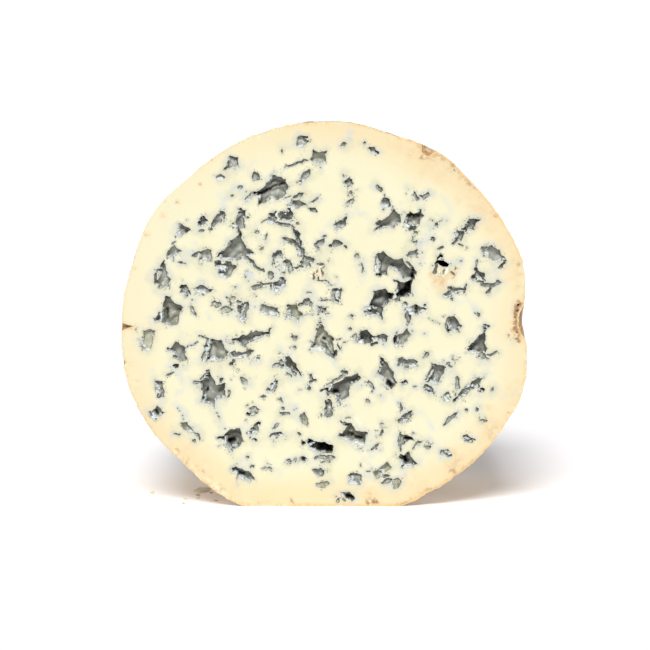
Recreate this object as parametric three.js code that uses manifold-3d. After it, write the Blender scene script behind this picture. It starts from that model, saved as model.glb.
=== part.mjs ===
// One half of a tall round blue cheese, cut straight across and stood on its rind side.
// Millimetres, +Z up. The round cut face looks along -Y and the natural rind end along +Y.
// The cheese is one solid: its mould pockets, chips and needle holes are relief in it.
import * as THREE from "three";
import { mergeVertices } from "three/addons/utils/BufferGeometryUtils.js";
import Module from "manifold-3d";

const wasm = await Module();
wasm.setup();

// Driving dimensions of the round
const DIAMETER = 130;
const DEPTH = 85; // from the cut face to the rind end
const AXIS_HEIGHT = 60.8; // of the round's middle above the surface that it rests on
const SHOULDER_RADIUS = 9; // where the side turns into the rind end
const END_DISH = 1.2; // how far the middle of the rind end sinks in
const RIND_RELIEF = 0.8; // swell of the rind, which is nothing at the cut

// How far the cut outline stands off a true circle, every 7.5 degrees from +X towards +Z
const RIM_SWELL = [
  -0.9, 0.2, 1.3, 0.9, 0.2, -0.3, -0.5, 0, -0.6, -1.9, -1.8, -1.4,
  -1.6, -1.7, -1.9, -2, -2.1, -2.2, -2.2, -1, -0.4, -0.6, -0.8, -0.3,
  0.2, 0.7, 1.6, 1.7, 1.6, 1.1, 0.3, 0.7, 1.3, 1.2, 1, 0,
  -1, -0.2, 0.6, 0.7, 0.8, 1.3, 1.8, 2.4, 2.7, 3.3, 2.6, 0.6,
];

const ROUND_SEGMENTS = 96;
const SIDE_RINGS = 6;
const SHOULDER_RINGS = 4;
const END_RINGS = 3;

const HALF_DEPTH = DEPTH / 2;
const RADIUS = DIAMETER / 2;
const OVERSHOOT = 1.5; // a cutting tool starts this far in front of the cut face
const ORIGIN = new THREE.Vector2(0, 0);

// How a pocket goes in from the cut face
const POCKET_BOW = 0.08; // how far a side bows inwards, for its length
const POCKET_WAIST = 0.55; // of the depth, where the walls turn towards the floor
const WAIST_SCALE = 0.9; // size there, for the size of the opening
const FLOOR_SCALE = 0.68;
const POCKET_LEAN = 0.14; // up and to the right, for the depth

// The large mould pockets that the cut opened, where curd grains did not knit together: the
// depth, then the corners as "across,up" pairs, anticlockwise as the cut face is looked at.
// Rows run from the top of the cut face down.
const LARGE_POCKETS = [
  [2.6, "-4.8,111.9 -2,110.1 0.5,110.6 0.8,114.8 -1.2,113.8 -3.7,115.1"],
  [3.6, "-21,97.5 -13.3,99.7 -11.2,103.2 -12.5,105.4 -16.8,107.3 -18.4,104.4 -22.3,101.2"],
  [3.8, "-14.4,92.6 -10.4,92.3 -10.1,94.6 -11.6,96.3"],
  [3.8, "16.8,89.5 21.6,90 24.6,91.6 24.4,94.2 22,95.6 20,93.4 17.4,91.4"],
  [2.8, "-29.4,91.2 -28.2,89.6 -25.5,89.8 -25.2,95.4 -27.3,95.8 -28.4,93"],
  [3.4, "26,90.5 28.8,89.1 30.3,91.3 31.9,93.8 31,95.4 29,94.2 27.2,95.1"],
  [2.8, "44.6,89.4 47.8,89.4 49.8,92.8 46.4,92.8 45,91"],
  [2.2, "41.4,85.2 43.8,86 44.8,88.6 42.6,89.2"],
  [3.8, "-34.8,81 -29,79.6 -22.8,81.8 -26.2,85.4 -26.9,88.4 -30.5,85.6"],
  [2.4, "51.2,81.8 53,80.8 55.4,79.6 58.2,80 55.8,82.8 53.8,84.4 51.6,84.4"],
  [3.2, "17.2,74.7 20.2,74.7 20.4,77.4 22.3,77.6 22.3,79.9 18.8,82.6 17.3,81.6"],
  [3.6, "22,77.4 24.6,74.4 26.3,73 29,73.4 29.4,76.2 26.6,77.6 25,80.3 22,79.8"],
  [5.2, "23.2,67.8 27.8,68.2 28.9,74.6 25.6,72.4 22.3,73.4 24,70.4"],
  [3.2, "-33.7,74.2 -30.6,74 -28.1,77.4 -30.4,79.4 -35.2,78.6"],
  [2.8, "47.2,74.2 51.9,72.6 51.2,75.2 49,77.1"],
  [2.6, "-54.2,72.2 -52.6,71 -50,70.9 -49.7,73.2 -50.8,76.2 -51.4,79.4 -52.8,76.8"],
  [2, "2.4,70 5.1,66 5.2,68.6 6.1,70.2"],
  [5, "13.4,63.6 15.8,62.4 18.5,60.6 19,64.6 22.2,66.8 22.2,68.8 19.5,70.1 15.8,69.9 15,66.4"],
  [2.8, "-12.4,61.2 -8.6,59.8 -6.8,61.8 -9.2,65.2 -11.8,65.2"],
  [3.8, "-54.2,59.8 -50.8,59 -47.4,59 -45.4,64.6 -48.4,65.6 -49.4,67.9 -51.2,68"],
  [3, "39.6,56.6 42.9,56.3 44.2,58.6 41.8,61.4 40.1,61.2"],
  [3, "-29.4,54 -26,51.6 -22,54 -17.3,56.3 -22.4,56.8 -26.5,55.6"],
  [4.4, "10.2,53.2 12.8,52.8 15.4,53.2 15.2,55.4 13.6,57 11.4,56.6"],
  [3.8, "46.2,51.8 48.2,50 52.1,50 51.9,57.6 50,55.4"],
  [2.8, "22.3,53.4 24,51.4 26,53.6 28.1,55.5 26.5,57.5 22.6,55.2"],
  [3.8, "-38.2,46.8 -33.2,47.1 -31,49.8 -33,53.6 -36.6,54.5 -37.8,51.8"],
  [3.8, "-4.8,51.2 -0.8,50.5 3.9,47.9 2.9,54.4 0.1,56.6 -1.2,61 -2.6,55.4"],
  [3, "-50.3,51.2 -47.4,48.2 -44.4,47.4 -45,51.6 -47.8,53.1"],
  [4.5, "-13.4,45.4 -7.5,42.5 -9.2,46 -11.3,48.6 -13.2,48.2"],
  [4.5, "17.1,42.8 20.6,39.2 22.3,38.4 23.4,40 22,43.6 20.4,46.6 17.9,48.4 18.4,44.6"],
  [3.2, "32.2,40.3 36,39.8 38.3,42.8 39.1,45.3 35.1,46.2 35,43.6"],
  [4.2, "-38.9,33.9 -35.8,32.2 -34.8,34.9 -31.9,35.4 -32.2,39.8 -35.3,39.3 -36.8,43.6 -40.4,40.4"],
  [4, "-0.6,37.4 2.2,36.2 5.2,34.1 7.6,35.6 8.2,38.8 11.6,41.8 10.2,43.3 6.6,41.6 2.6,39.4"],
  [4.4, "-34.6,22.3 -31.7,20.2 -29.9,17.1 -28,19.6 -26.1,21 -26.9,23.2 -27.6,25.6 -30.2,24.8"],
  [4, "4.8,23 7.4,21.4 10,21 12,19.8 13.4,20.8 13.5,24 10,24.6 8.6,26.4 7,26.8 6.4,24.6"],
  [6.5, "-6.8,20.4 -4.5,19.3 -1,17.4 2.4,17.3 2.8,19.6 0,20.4 -3.2,21 -5,21.8"],
  [4.2, "25,12.4 28.8,12.7 30,13.6 27.8,16 27.2,17.6 24.2,15.8"],
  [2.8, "-30,11.8 -28,9.6 -24.4,8 -22.4,8.8 -24.6,11.2 -27.4,12.2 -28.8,13"],
];

// The smaller pockets: middle across and up, length, width, tilt from +X towards +Z in
// degrees, number of pointed corners, depth. Rows run from the top of the cut face down.
const SMALL_POCKETS = [
  [-7, 117.5, 4.2, 3.5, 0, 4, 1.8],
  [-29.5, 111, 3.8, 3.5, 0, 4, 1.8],
  [-6.5, 106.3, 6.5, 1.8, 48, 2, 1.6],
  [7.8, 104.6, 3.2, 2.8, 80, 4, 1.8],
  [19.8, 98, 3.2, 3.2, 45, 4, 1.8],
  [-8.3, 97.6, 5.5, 2.6, 0, 3, 2.2],
  [-39, 92.2, 3, 2.8, -40, 3, 3],
  [-34.5, 92.5, 6.5, 3, 50, 4, 2.4],
  [5.2, 91.3, 4.8, 2.3, 38, 3, 2],
  [-45.3, 89.2, 4, 4, 0, 3, 2.6],
  [-8.5, 86.5, 6, 2, -65, 3, 3.4],
  [-11.4, 85.6, 5, 1.8, -15, 2, 2.2],
  [-48.6, 82, 4.3, 3.2, 50, 4, 2.2],
  [-38.3, 81, 4, 3.5, 0, 4, 2.2],
  [-5, 79.8, 4.2, 2.3, 0, 3, 1.8],
  [38, 78.5, 3.6, 2, -10, 4, 6],
  [-11.4, 77.8, 4.5, 2.2, -65, 3, 2],
  [-14.4, 71.6, 5, 3.2, 30, 3, 2.4],
  [-39, 70.3, 6.3, 1.6, -5, 2, 1.6],
  [-44.8, 70, 4.2, 2.6, -60, 4, 2],
  [42, 69.7, 7.5, 2.2, 10, 4, 2],
  [29.5, 63.6, 7, 3.2, 10, 4, 2],
  [-18, 63.5, 5.5, 2.6, -10, 4, 1.6],
  [-26, 63, 6.4, 2.3, 80, 4, 2],
  [18.2, 54.8, 4.2, 2, 180, 3, 2],
  [-57, 54, 6.8, 3.6, 80, 4, 1.6],
  [-26.3, 49.2, 7.6, 2, 18, 2, 2],
  [26.8, 46.3, 7, 2.7, -8, 3, 2.4],
  [-53.4, 38, 6.3, 2.5, -65, 4, 2],
  [46.4, 37.9, 13.5, 1.7, 40, 2, 2.4],
  [33.9, 37.7, 5, 1.8, -45, 3, 1.6],
  [1.3, 31.8, 5.8, 2.8, 90, 3, 2.2],
  [-22.7, 31, 3.6, 2.5, 10, 3, 1.8],
  [-54.3, 30, 4, 3.2, 45, 4, 2],
  [-6.4, 28, 5, 2.5, -65, 3, 2],
  [-44.1, 25.5, 5.2, 1.8, -35, 3, 1.8],
  [-22.8, 24.6, 5.5, 2.5, 60, 4, 2],
  [46.4, 22.1, 4.4, 1.9, -15, 3, 1.8],
  [26.7, 22, 4.6, 2.6, -5, 3, 2],
  [18.7, 11.7, 6, 2.5, 35, 4, 2],
  [9.8, 9, 4.2, 3.6, 0, 4, 1.6],
  [7.4, 3.4, 5.2, 2, 160, 3, 2],
];

// Knocks and tears in the rim of the cut: x, z, half width, half height, depth along Y
const CHIPS = [
  [66.4, 60.2, 4, 6.4, 4],
  [33.2, 116, 2.2, 3.2, 3],
  [42.6, 8.4, 1.8, 1.6, 5],
  [60.9, 28.9, 1.3, 1.2, 2],
  [34, 3.8, 1.2, 1.1, 2],
  [-65.4, 46.5, 1.6, 1.3, 3],
  [-64.6, 57.8, 5.2, 0.8, 2.5],
];

// Blind holes that the needles left in the rind end, on rings round the middle
const NEEDLE_RINGS = [
  { radius: 12, count: 4 },
  { radius: 30, count: 7 },
  { radius: 46, count: 9 },
];
const NEEDLE_RADIUS = 1.1;
const NEEDLE_DEPTH = 5;

// A repeatable random number from 0 to 1.
let randomState = 20;
function random() {
  randomState = (randomState * 1664525 + 1013904223) % 4294967296;
  return randomState / 4294967296;
}

function between(low, high) {
  return low + (high - low) * random();
}

// A geometry's closed surface as a solid that can be joined and cut.
function solidOf(geometry) {
  geometry.deleteAttribute("normal");
  geometry.deleteAttribute("uv");
  const merged = mergeVertices(geometry, 1e-4);
  const mesh = new wasm.Mesh({
    numProp: 3,
    vertProperties: merged.attributes.position.array,
    triVerts: new Uint32Array(merged.index.array),
  });
  return new wasm.Manifold(mesh);
}

function geometryOf(solid) {
  const { vertProperties, triVerts } = solid.getMesh();
  const geometry = new THREE.BufferGeometry();
  geometry.setAttribute("position", new THREE.BufferAttribute(vertProperties, 3));
  geometry.setIndex(new THREE.BufferAttribute(triVerts, 1));
  return geometry;
}

// Moves every vertex of a geometry by a function that changes the point it is given.
function bend(geometry, movePoint) {
  const positions = geometry.attributes.position;
  const point = new THREE.Vector3();
  for (let i = 0; i < positions.count; i += 1) {
    point.fromBufferAttribute(positions, i);
    movePoint(point);
    positions.setXYZ(i, point.x, point.y, point.z);
  }
}

// How far the outline stands off a true circle at any angle: a smooth curve round RIM_SWELL.
function rimSwell(angle) {
  const count = RIM_SWELL.length;
  const turns = (angle / (2 * Math.PI) + 1) % 1;
  const place = turns * count;
  const index = Math.floor(place);
  const t = place - index;
  const [a, b, c, d] = [-1, 0, 1, 2].map((step) => RIM_SWELL[(index + step + count) % count]);
  const bow = 2 * a - 5 * b + 4 * c - d + (3 * b - a - 3 * c + d) * t;
  return b + 0.5 * t * (c - a + bow * t);
}

// Low swells of the rind, which fade to nothing at the cut face.
function rindSwell(angle, y) {
  const fade = THREE.MathUtils.smoothstep(y, -HALF_DEPTH, -HALF_DEPTH + 20);
  const round = Math.sin(3 * angle + 0.07 * y) + 0.6 * Math.sin(7 * angle - 0.11 * y + 1.3);
  const lengthwise = 0.5 * Math.sin(0.16 * y + 2 * angle);
  return RIND_RELIEF * fade * (round + lengthwise) * 0.5;
}

// The whole round: a lathe profile from the middle of the cut face, along the side and over
// the shoulder to the middle of the rind end, then swelled to the outline.
function makeRound() {
  const profile = [new THREE.Vector2(0, -HALF_DEPTH)];
  const shoulderStart = HALF_DEPTH - SHOULDER_RADIUS;
  for (let i = 0; i <= SIDE_RINGS; i += 1) {
    const y = THREE.MathUtils.lerp(-HALF_DEPTH, shoulderStart, i / SIDE_RINGS);
    profile.push(new THREE.Vector2(RADIUS, y));
  }
  const flatRadius = RADIUS - SHOULDER_RADIUS;
  for (let i = 1; i <= SHOULDER_RINGS; i += 1) {
    const turn = (i / SHOULDER_RINGS) * (Math.PI / 2);
    const r = flatRadius + SHOULDER_RADIUS * Math.cos(turn);
    profile.push(new THREE.Vector2(r, shoulderStart + SHOULDER_RADIUS * Math.sin(turn)));
  }
  for (let i = 1; i <= END_RINGS; i += 1) {
    const inward = i / END_RINGS;
    profile.push(new THREE.Vector2(flatRadius * (1 - inward), HALF_DEPTH - END_DISH * inward));
  }
  const geometry = new THREE.LatheGeometry(profile, ROUND_SEGMENTS);
  bend(geometry, (point) => {
    const r = Math.hypot(point.x, point.z);
    const angle = Math.atan2(point.z, point.x);
    const swell = rimSwell(angle) + rindSwell(angle, point.y);
    const scale = 1 + swell / RADIUS;
    point.x *= scale;
    point.z = point.z * scale + AXIS_HEIGHT;
    if (point.y > shoulderStart) point.y += 0.5 * RIND_RELIEF * Math.sin(0.11 * r + 2 * angle);
  });
  return solidOf(geometry);
}

// The edge of a large pocket: its corners, joined by sides that bow inwards, as they do
// between round curd grains.
function bowedOutline(corners) {
  const points = corners.split(" ").map((pair) => new THREE.Vector2(...pair.split(",").map(Number)));
  return points.flatMap((corner, i) => {
    const side = points[(i + 1) % points.length].clone().sub(corner);
    const inward = new THREE.Vector2(-side.y, side.x).multiplyScalar(POCKET_BOW);
    return [corner, corner.clone().addScaledVector(side, 0.5).add(inward)];
  });
}

// The edge of a small pocket: a star of pointed corners, fitted to its length and width,
// then turned and put in its place.
function starOutline(x, z, length, width, tilt, cornerCount) {
  const steps = cornerCount === 2 ? 4 : 3;
  const count = cornerCount * steps;
  const waist = cornerCount === 2 ? 0.34 : between(0.62, 0.8);
  const turn = cornerCount === 4 && random() < 0.5 ? Math.PI / 4 : 0;
  const points = [];
  for (let i = 0; i < count; i += 1) {
    const angle = (i / count) * 2 * Math.PI;
    const point = 1 - Math.abs(Math.sin((cornerCount * angle) / 2));
    const reach = (waist + (1 - waist) * point) * between(0.88, 1.1);
    points.push(new THREE.Vector2(Math.cos(angle + turn), Math.sin(angle + turn)).multiplyScalar(reach));
  }
  const box = new THREE.Box2().setFromPoints(points);
  const scale = new THREE.Vector2(length, width).divide(box.getSize(new THREE.Vector2()));
  const place = new THREE.Vector2(x, z);
  const middle = box.getCenter(new THREE.Vector2());
  const tiltAngle = THREE.MathUtils.degToRad(tilt);
  return points.map((p) => p.sub(middle).multiply(scale).rotateAround(ORIGIN, tiltAngle).add(place));
}

// The tool that hollows one pocket: a short cylinder whose sides follow the pocket's edge.
// It narrows and leans as it goes in, and ends on an uneven floor.
function makePocket(outline, depth) {
  const count = outline.length;
  const middle = outline.reduce((sum, p) => sum.add(p), new THREE.Vector2()).divideScalar(count);
  const waistDepth = POCKET_WAIST * depth;
  const rings = [
    { y: -OVERSHOOT, scale: 1 + ((1 - WAIST_SCALE) * OVERSHOOT) / waistDepth },
    { y: waistDepth, scale: WAIST_SCALE },
    { y: depth, scale: FLOOR_SCALE },
  ];
  const rise = outline.map(() => between(0.6, 1));
  const geometry = new THREE.CylinderGeometry(1, 1, 2, count, 2, false, Math.PI / 2);
  bend(geometry, (point) => {
    const onEdge = Math.hypot(point.x, point.z) > 0.5;
    const row = Math.round(point.y) + 1;
    const slot = Math.round((Math.atan2(point.z, point.x) / (2 * Math.PI)) * count + count) % count;
    const ring = rings[row];
    const edge = onEdge ? outline[slot].clone().sub(middle).multiplyScalar(ring.scale) : ORIGIN;
    const sink = row === 2 && onEdge ? ring.y * rise[slot] : ring.y;
    const lean = Math.max(0, ring.y) * POCKET_LEAN;
    point.set(middle.x + edge.x + lean, sink - HALF_DEPTH, middle.y + edge.y + lean);
  });
  return solidOf(geometry);
}

function makeChip([x, z, halfWidth, halfHeight, depth]) {
  const geometry = new THREE.SphereGeometry(1, 9, 6);
  geometry.scale(halfWidth, depth, halfHeight);
  geometry.translate(x, -HALF_DEPTH, z);
  return solidOf(geometry);
}

function makeNeedleHole(radius, angle) {
  const geometry = new THREE.ConeGeometry(NEEDLE_RADIUS, 2 * NEEDLE_DEPTH, 7);
  geometry.rotateX(Math.PI);
  const x = radius * Math.cos(angle);
  const z = AXIS_HEIGHT + radius * Math.sin(angle);
  geometry.translate(x, HALF_DEPTH - 0.5 * END_DISH, z);
  return solidOf(geometry);
}

function makeNeedleHoles() {
  const holes = [];
  for (const { radius, count } of NEEDLE_RINGS) {
    for (let i = 0; i < count; i += 1) {
      const angle = ((i + between(-0.2, 0.2)) / count) * 2 * Math.PI;
      holes.push(makeNeedleHole(radius + between(-2, 2), angle));
    }
  }
  return holes;
}

// The block under the cheese, taken off it so that it stands on a true flat.
function makeGround() {
  const thickness = 20;
  const geometry = new THREE.BoxGeometry(2 * DIAMETER, 2 * DEPTH, thickness);
  geometry.translate(0, 0, -thickness / 2);
  return solidOf(geometry);
}

const tools = [
  ...LARGE_POCKETS.map(([depth, corners]) => makePocket(bowedOutline(corners), depth)),
  ...SMALL_POCKETS.map(([x, z, length, width, tilt, cornerCount, depth]) =>
    makePocket(starOutline(x, z, length, width, tilt, cornerCount), depth),
  ),
  ...CHIPS.map(makeChip),
  ...makeNeedleHoles(),
  makeGround(),
];
const cheeseSolid = makeRound().subtract(tools.reduce((joined, tool) => joined.add(tool)));

const cheese = new THREE.Mesh(
  geometryOf(cheeseSolid),
  new THREE.MeshStandardMaterial({ color: 0xfff4d2, roughness: 0.55, metalness: 0 }),
);
cheese.name = "cheese";

// The origin is under the middle of the cheese's box.
cheese.geometry.computeBoundingBox();
const middle = cheese.geometry.boundingBox.getCenter(new THREE.Vector3());
cheese.geometry.translate(-middle.x, -middle.y, 0);
cheese.geometry.computeVertexNormals();

const group = new THREE.Group();
group.add(cheese);

export default group;
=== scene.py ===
# %% [markdown]
# # A cut round of blue cheese
# A tall round cheese is cut straight across with a wire and one half stands on its rind side,
# so that the whole marbled face is seen. The half is one thing: a pale paste, a thin dry rind
# round it, and the pockets between the curd grains in which the mould has grown.
# The solid model gives its size, its outline and its large pockets. Everything here is worked
# from that solid, in metres, with +Z up, the cut face towards -Y and the rind end towards +Y.

# %% Load the solid
import math
import random
from collections import namedtuple

import bmesh
import bpy
from mathutils import Matrix, Vector, noise
from mathutils.geometry import delaunay_2d_cdt, intersect_line_line_2d
from mathutils.kdtree import KDTree


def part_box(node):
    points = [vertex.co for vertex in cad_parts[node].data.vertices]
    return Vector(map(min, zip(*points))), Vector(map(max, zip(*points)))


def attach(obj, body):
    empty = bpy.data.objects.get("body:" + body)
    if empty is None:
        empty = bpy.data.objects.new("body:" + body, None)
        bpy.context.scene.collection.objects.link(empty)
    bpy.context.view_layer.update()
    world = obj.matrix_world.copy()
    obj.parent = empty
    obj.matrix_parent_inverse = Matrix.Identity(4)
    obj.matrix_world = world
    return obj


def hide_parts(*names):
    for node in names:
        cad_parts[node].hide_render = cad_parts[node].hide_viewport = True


MM = 0.001
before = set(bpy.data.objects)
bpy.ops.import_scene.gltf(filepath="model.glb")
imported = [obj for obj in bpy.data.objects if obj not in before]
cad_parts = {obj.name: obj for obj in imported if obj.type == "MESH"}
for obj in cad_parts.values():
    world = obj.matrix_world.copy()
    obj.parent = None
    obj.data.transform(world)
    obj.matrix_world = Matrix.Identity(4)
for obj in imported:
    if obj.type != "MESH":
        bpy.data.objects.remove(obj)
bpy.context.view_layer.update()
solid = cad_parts["cheese"]
low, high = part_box("cheese")
CUT_Y = low.y
END_Y = high.y
print("solid", [round(side / MM, 1) for side in high - low], "mm")

# %% [markdown]
# ## Camera
# The camera looks straight at the cut face from a little above its middle, with a long lens,
# so the side of the round hides behind the face. It comes first because the size of a pixel on
# the face, about a third of a millimetre, decides how fine each surface has to be.

# %% Camera
CAMERA_DISTANCE = 0.75
VIEW_WIDTH = 209.2 * MM  # what the picture takes in at the cut face
CAMERA_RISE = math.radians(4.0)
aim = Vector((0.3 * MM, CUT_Y, 58.82 * MM))

camera_data = bpy.data.cameras.new("camera")
camera_data.lens = camera_data.sensor_width * CAMERA_DISTANCE / VIEW_WIDTH
camera = bpy.data.objects.new("camera", camera_data)
bpy.context.scene.collection.objects.link(camera)
bpy.context.scene.camera = camera
away = Vector((0, -math.cos(CAMERA_RISE), math.sin(CAMERA_RISE)))
camera.location = aim + away * CAMERA_DISTANCE
camera.rotation_euler = (-away).to_track_quat("-Z", "Y").to_euler()
print("lens", round(camera_data.lens), "mm")

# %% [markdown]
# ## Helpers for meshes
# A bmesh is Blender's mesh for modelling: its operators spin, extrude and cut. Each step below
# starts one, shapes it and turns it into an object. A modifier is then applied by running it
# and keeping what comes out.

# %% Mesh helpers


def make_object(bm, name):
    mesh = bpy.data.meshes.new(name)
    bm.to_mesh(mesh)
    bm.free()
    thing = bpy.data.objects.new(name, mesh)
    bpy.context.scene.collection.objects.link(thing)
    return thing


def apply_modifiers(thing):
    with bpy.context.temp_override(object=thing):
        for modifier in list(thing.modifiers):
            bpy.ops.object.modifier_apply(modifier=modifier.name)


def drop(thing):
    bpy.data.objects.remove(thing)


def islands(bm):
    """The separate shells of a mesh, each a list of vertices, largest first."""
    seen = set()
    shells = []
    for start in bm.verts:
        if start in seen:
            continue
        seen.add(start)
        shell = [start]
        for vert in shell:
            for edge in vert.link_edges:
                other = edge.other_vert(vert)
                if other not in seen:
                    seen.add(other)
                    shell.append(other)
        shells.append(shell)
    return sorted(shells, key=lambda shell: (-len(shell), min(tuple(v.co) for v in shell)))


def ordered_loop(edges):
    """The vertices of one closed loop of edges, one after another, from its first corner in x.

    The operators may hand the edges over in any order, so the start and the way round are fixed
    by place: the same script then always makes the same mesh.
    """
    neighbours = {}
    for edge in edges:
        for vert in edge.verts:
            neighbours.setdefault(vert, []).append(edge.other_vert(vert))
    loop = [edges[0].verts[0], edges[0].verts[1]]
    while True:
        first, second = neighbours[loop[-1]]
        following = second if first == loop[-2] else first
        if following == loop[0]:
            break
        loop.append(following)
    start = min(range(len(loop)), key=lambda number: tuple(loop[number].co))
    loop = loop[start:] + loop[:start]
    if tuple(loop[1].co) > tuple(loop[-1].co):
        loop = loop[:1] + loop[:0:-1]
    return loop


def ramp(value, start, end):
    """0 before start, 1 after end, and a smooth rise between. It falls if end is below start."""
    t = min(1.0, max(0.0, (value - start) / (end - start)))
    return t * t * (3 - 2 * t)


# %% [markdown]
# ## The solid, opened
# The solid comes as loose triangles, so a copy is merged first. Taking the flat cut face off
# that copy leaves one large open shell, the rind side, and one small cup for each large pocket.
# The cups give the outline and the depth of those pockets, which are made again further down.

# %% Open the solid
cad = bmesh.new()
cad.from_mesh(solid.data)
bmesh.ops.remove_doubles(cad, verts=cad.verts, dist=0.001 * MM)
on_cut = [f for f in cad.faces if all(v.co.y < CUT_Y + 0.002 * MM for v in f.verts)]
bmesh.ops.delete(cad, geom=on_cut, context="FACES")
pocket_shells = islands(cad)[1:]
print("large pockets", len(pocket_shells))

solid_pockets = []
for shell in pocket_shells:
    rim_edges = [e for v in shell for e in v.link_edges if e.is_boundary and e.verts[0] == v]
    rim = ordered_loop(rim_edges)
    corners = [Vector((v.co.x, v.co.z)) / MM for v in rim]
    depth = (max(v.co.y for v in shell) - CUT_Y) / MM
    solid_pockets.append((corners, depth))
bmesh.ops.delete(cad, geom=[v for shell in pocket_shells for v in shell], context="VERTS")
skin_target = make_object(cad, "skin_target")

# %% [markdown]
# ## The rind side
# The solid's side is made of long facets, too coarse for a wrinkled rind. A fresh even mesh is
# better than dividing those: a profile is spun round the axis a little outside the cheese, and
# a Shrinkwrap modifier draws it in along its normals until it lies on the solid. It keeps the
# swells, the chips in the rim and the flat underneath, now in even squares of about 1.3 mm.

# %% Rind side
AXIS_Z = 60.8 * MM
SPIN_STEPS = 320
SIDE_STEP = 1.4 * MM
STANDOFF = 6 * MM
SIDE_RADIUS = 70 * MM
SHOULDER_RADIUS = 10 * MM
SHOULDER_STEPS = 10
END_STEPS = 30


def profile_points():
    """The outside of the round from the cut to the middle of the rind end, as (radius, y)."""
    outer = SIDE_RADIUS + STANDOFF
    turn_start = END_Y - SHOULDER_RADIUS
    turn_radius = SHOULDER_RADIUS + STANDOFF
    flat_radius = outer - turn_radius
    side_steps = round((turn_start - CUT_Y) / SIDE_STEP)
    side_length = turn_start - CUT_Y - 0.02 * MM
    points = []
    for i in range(side_steps):
        points.append((outer, CUT_Y + 0.02 * MM + side_length * i / side_steps))
    for i in range(SHOULDER_STEPS):
        turn = math.radians(90) * i / SHOULDER_STEPS
        radius = flat_radius + turn_radius * math.cos(turn)
        points.append((radius, turn_start + turn_radius * math.sin(turn)))
    for i in range(END_STEPS + 1):
        points.append((flat_radius * (1 - i / END_STEPS), END_Y + STANDOFF))
    return points


rind = bmesh.new()
profile = [rind.verts.new((radius, y, AXIS_Z)) for radius, y in profile_points()]
profile_edges = [rind.edges.new(pair) for pair in zip(profile, profile[1:])]
bmesh.ops.spin(
    rind,
    geom=profile + profile_edges,
    cent=(0, 0, AXIS_Z),
    axis=(0, 1, 0),
    angle=math.radians(360),
    steps=SPIN_STEPS,
    use_merge=True,
)
bmesh.ops.remove_doubles(rind, verts=rind.verts, dist=0.001 * MM)
bmesh.ops.recalc_face_normals(rind, faces=rind.faces)
skin = make_object(rind, "skin")
wrap = skin.modifiers.new("wrap", "SHRINKWRAP")
wrap.target = skin_target
wrap.wrap_method = "PROJECT"
wrap.use_negative_direction = True
wrap.use_positive_direction = False
wrap.project_limit = 4 * STANDOFF
apply_modifiers(skin)
drop(skin_target)
print("rind mesh", len(skin.data.polygons), "faces")

# %% [markdown]
# A dry rind is wrinkled and pitted. Fractal noise moves each vertex along its normal: broad
# wrinkles, and fine ones on top. The relief fades out at the cut and where the cheese rests.

# %% Rind relief
WRINKLE = 0.45 * MM


def rind_relief(place):
    """How far the rind stands out at a place, in metres."""
    broad = noise.fractal(place / (9 * MM), 0.8, 2.1, 4)
    fine = noise.turbulence(place / (2.6 * MM), 3, False)
    inside = ramp(place.y, CUT_Y, CUT_Y + 6 * MM)
    relief = WRINKLE * (broad + 0.5 * fine - 0.4)
    return relief * inside * ramp(place.z, 0.05 * MM, 1.5 * MM)


# %% [markdown]
# The rim of the cut is seen from straight ahead, so it needs finer steps than the side. Its edges
# are divided in three and moved in and out by a second, finer noise.

# %% Ragged rim of the cut
RAGGED_EDGE = 0.34 * MM


def edge_relief(place):
    """How far the rim of the cut stands out at a place, in metres."""
    coarse = noise.noise(place / (2.4 * MM))
    fine = noise.noise(place / (0.8 * MM) + Vector((3, 1, 4)))
    return RAGGED_EDGE * (coarse + 0.6 * fine) * ramp(place.z, 0.3 * MM, 2 * MM)


rind = bmesh.new()
rind.from_mesh(skin.data)
drop(skin)
rind.normal_update()
offsets = [(v, v.normal * rind_relief(v.co)) for v in rind.verts]
for vert, offset in offsets:
    vert.co += offset
rim_edges = [e for e in rind.edges if e.is_boundary]
bmesh.ops.subdivide_edges(rind, edges=rim_edges, cuts=2)
for vert in rind.verts:
    if vert.is_boundary:
        outward = Vector((vert.co.x, 0, vert.co.z - AXIS_Z)).normalized()
        vert.co += outward * edge_relief(vert.co)
bmesh.ops.triangulate(rind, faces=[f for f in rind.faces if len(f.verts) > 4])
rim_loop = ordered_loop([e for e in rind.edges if e.is_boundary])
print("rim of the cut", len(rim_loop), "points")
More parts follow.
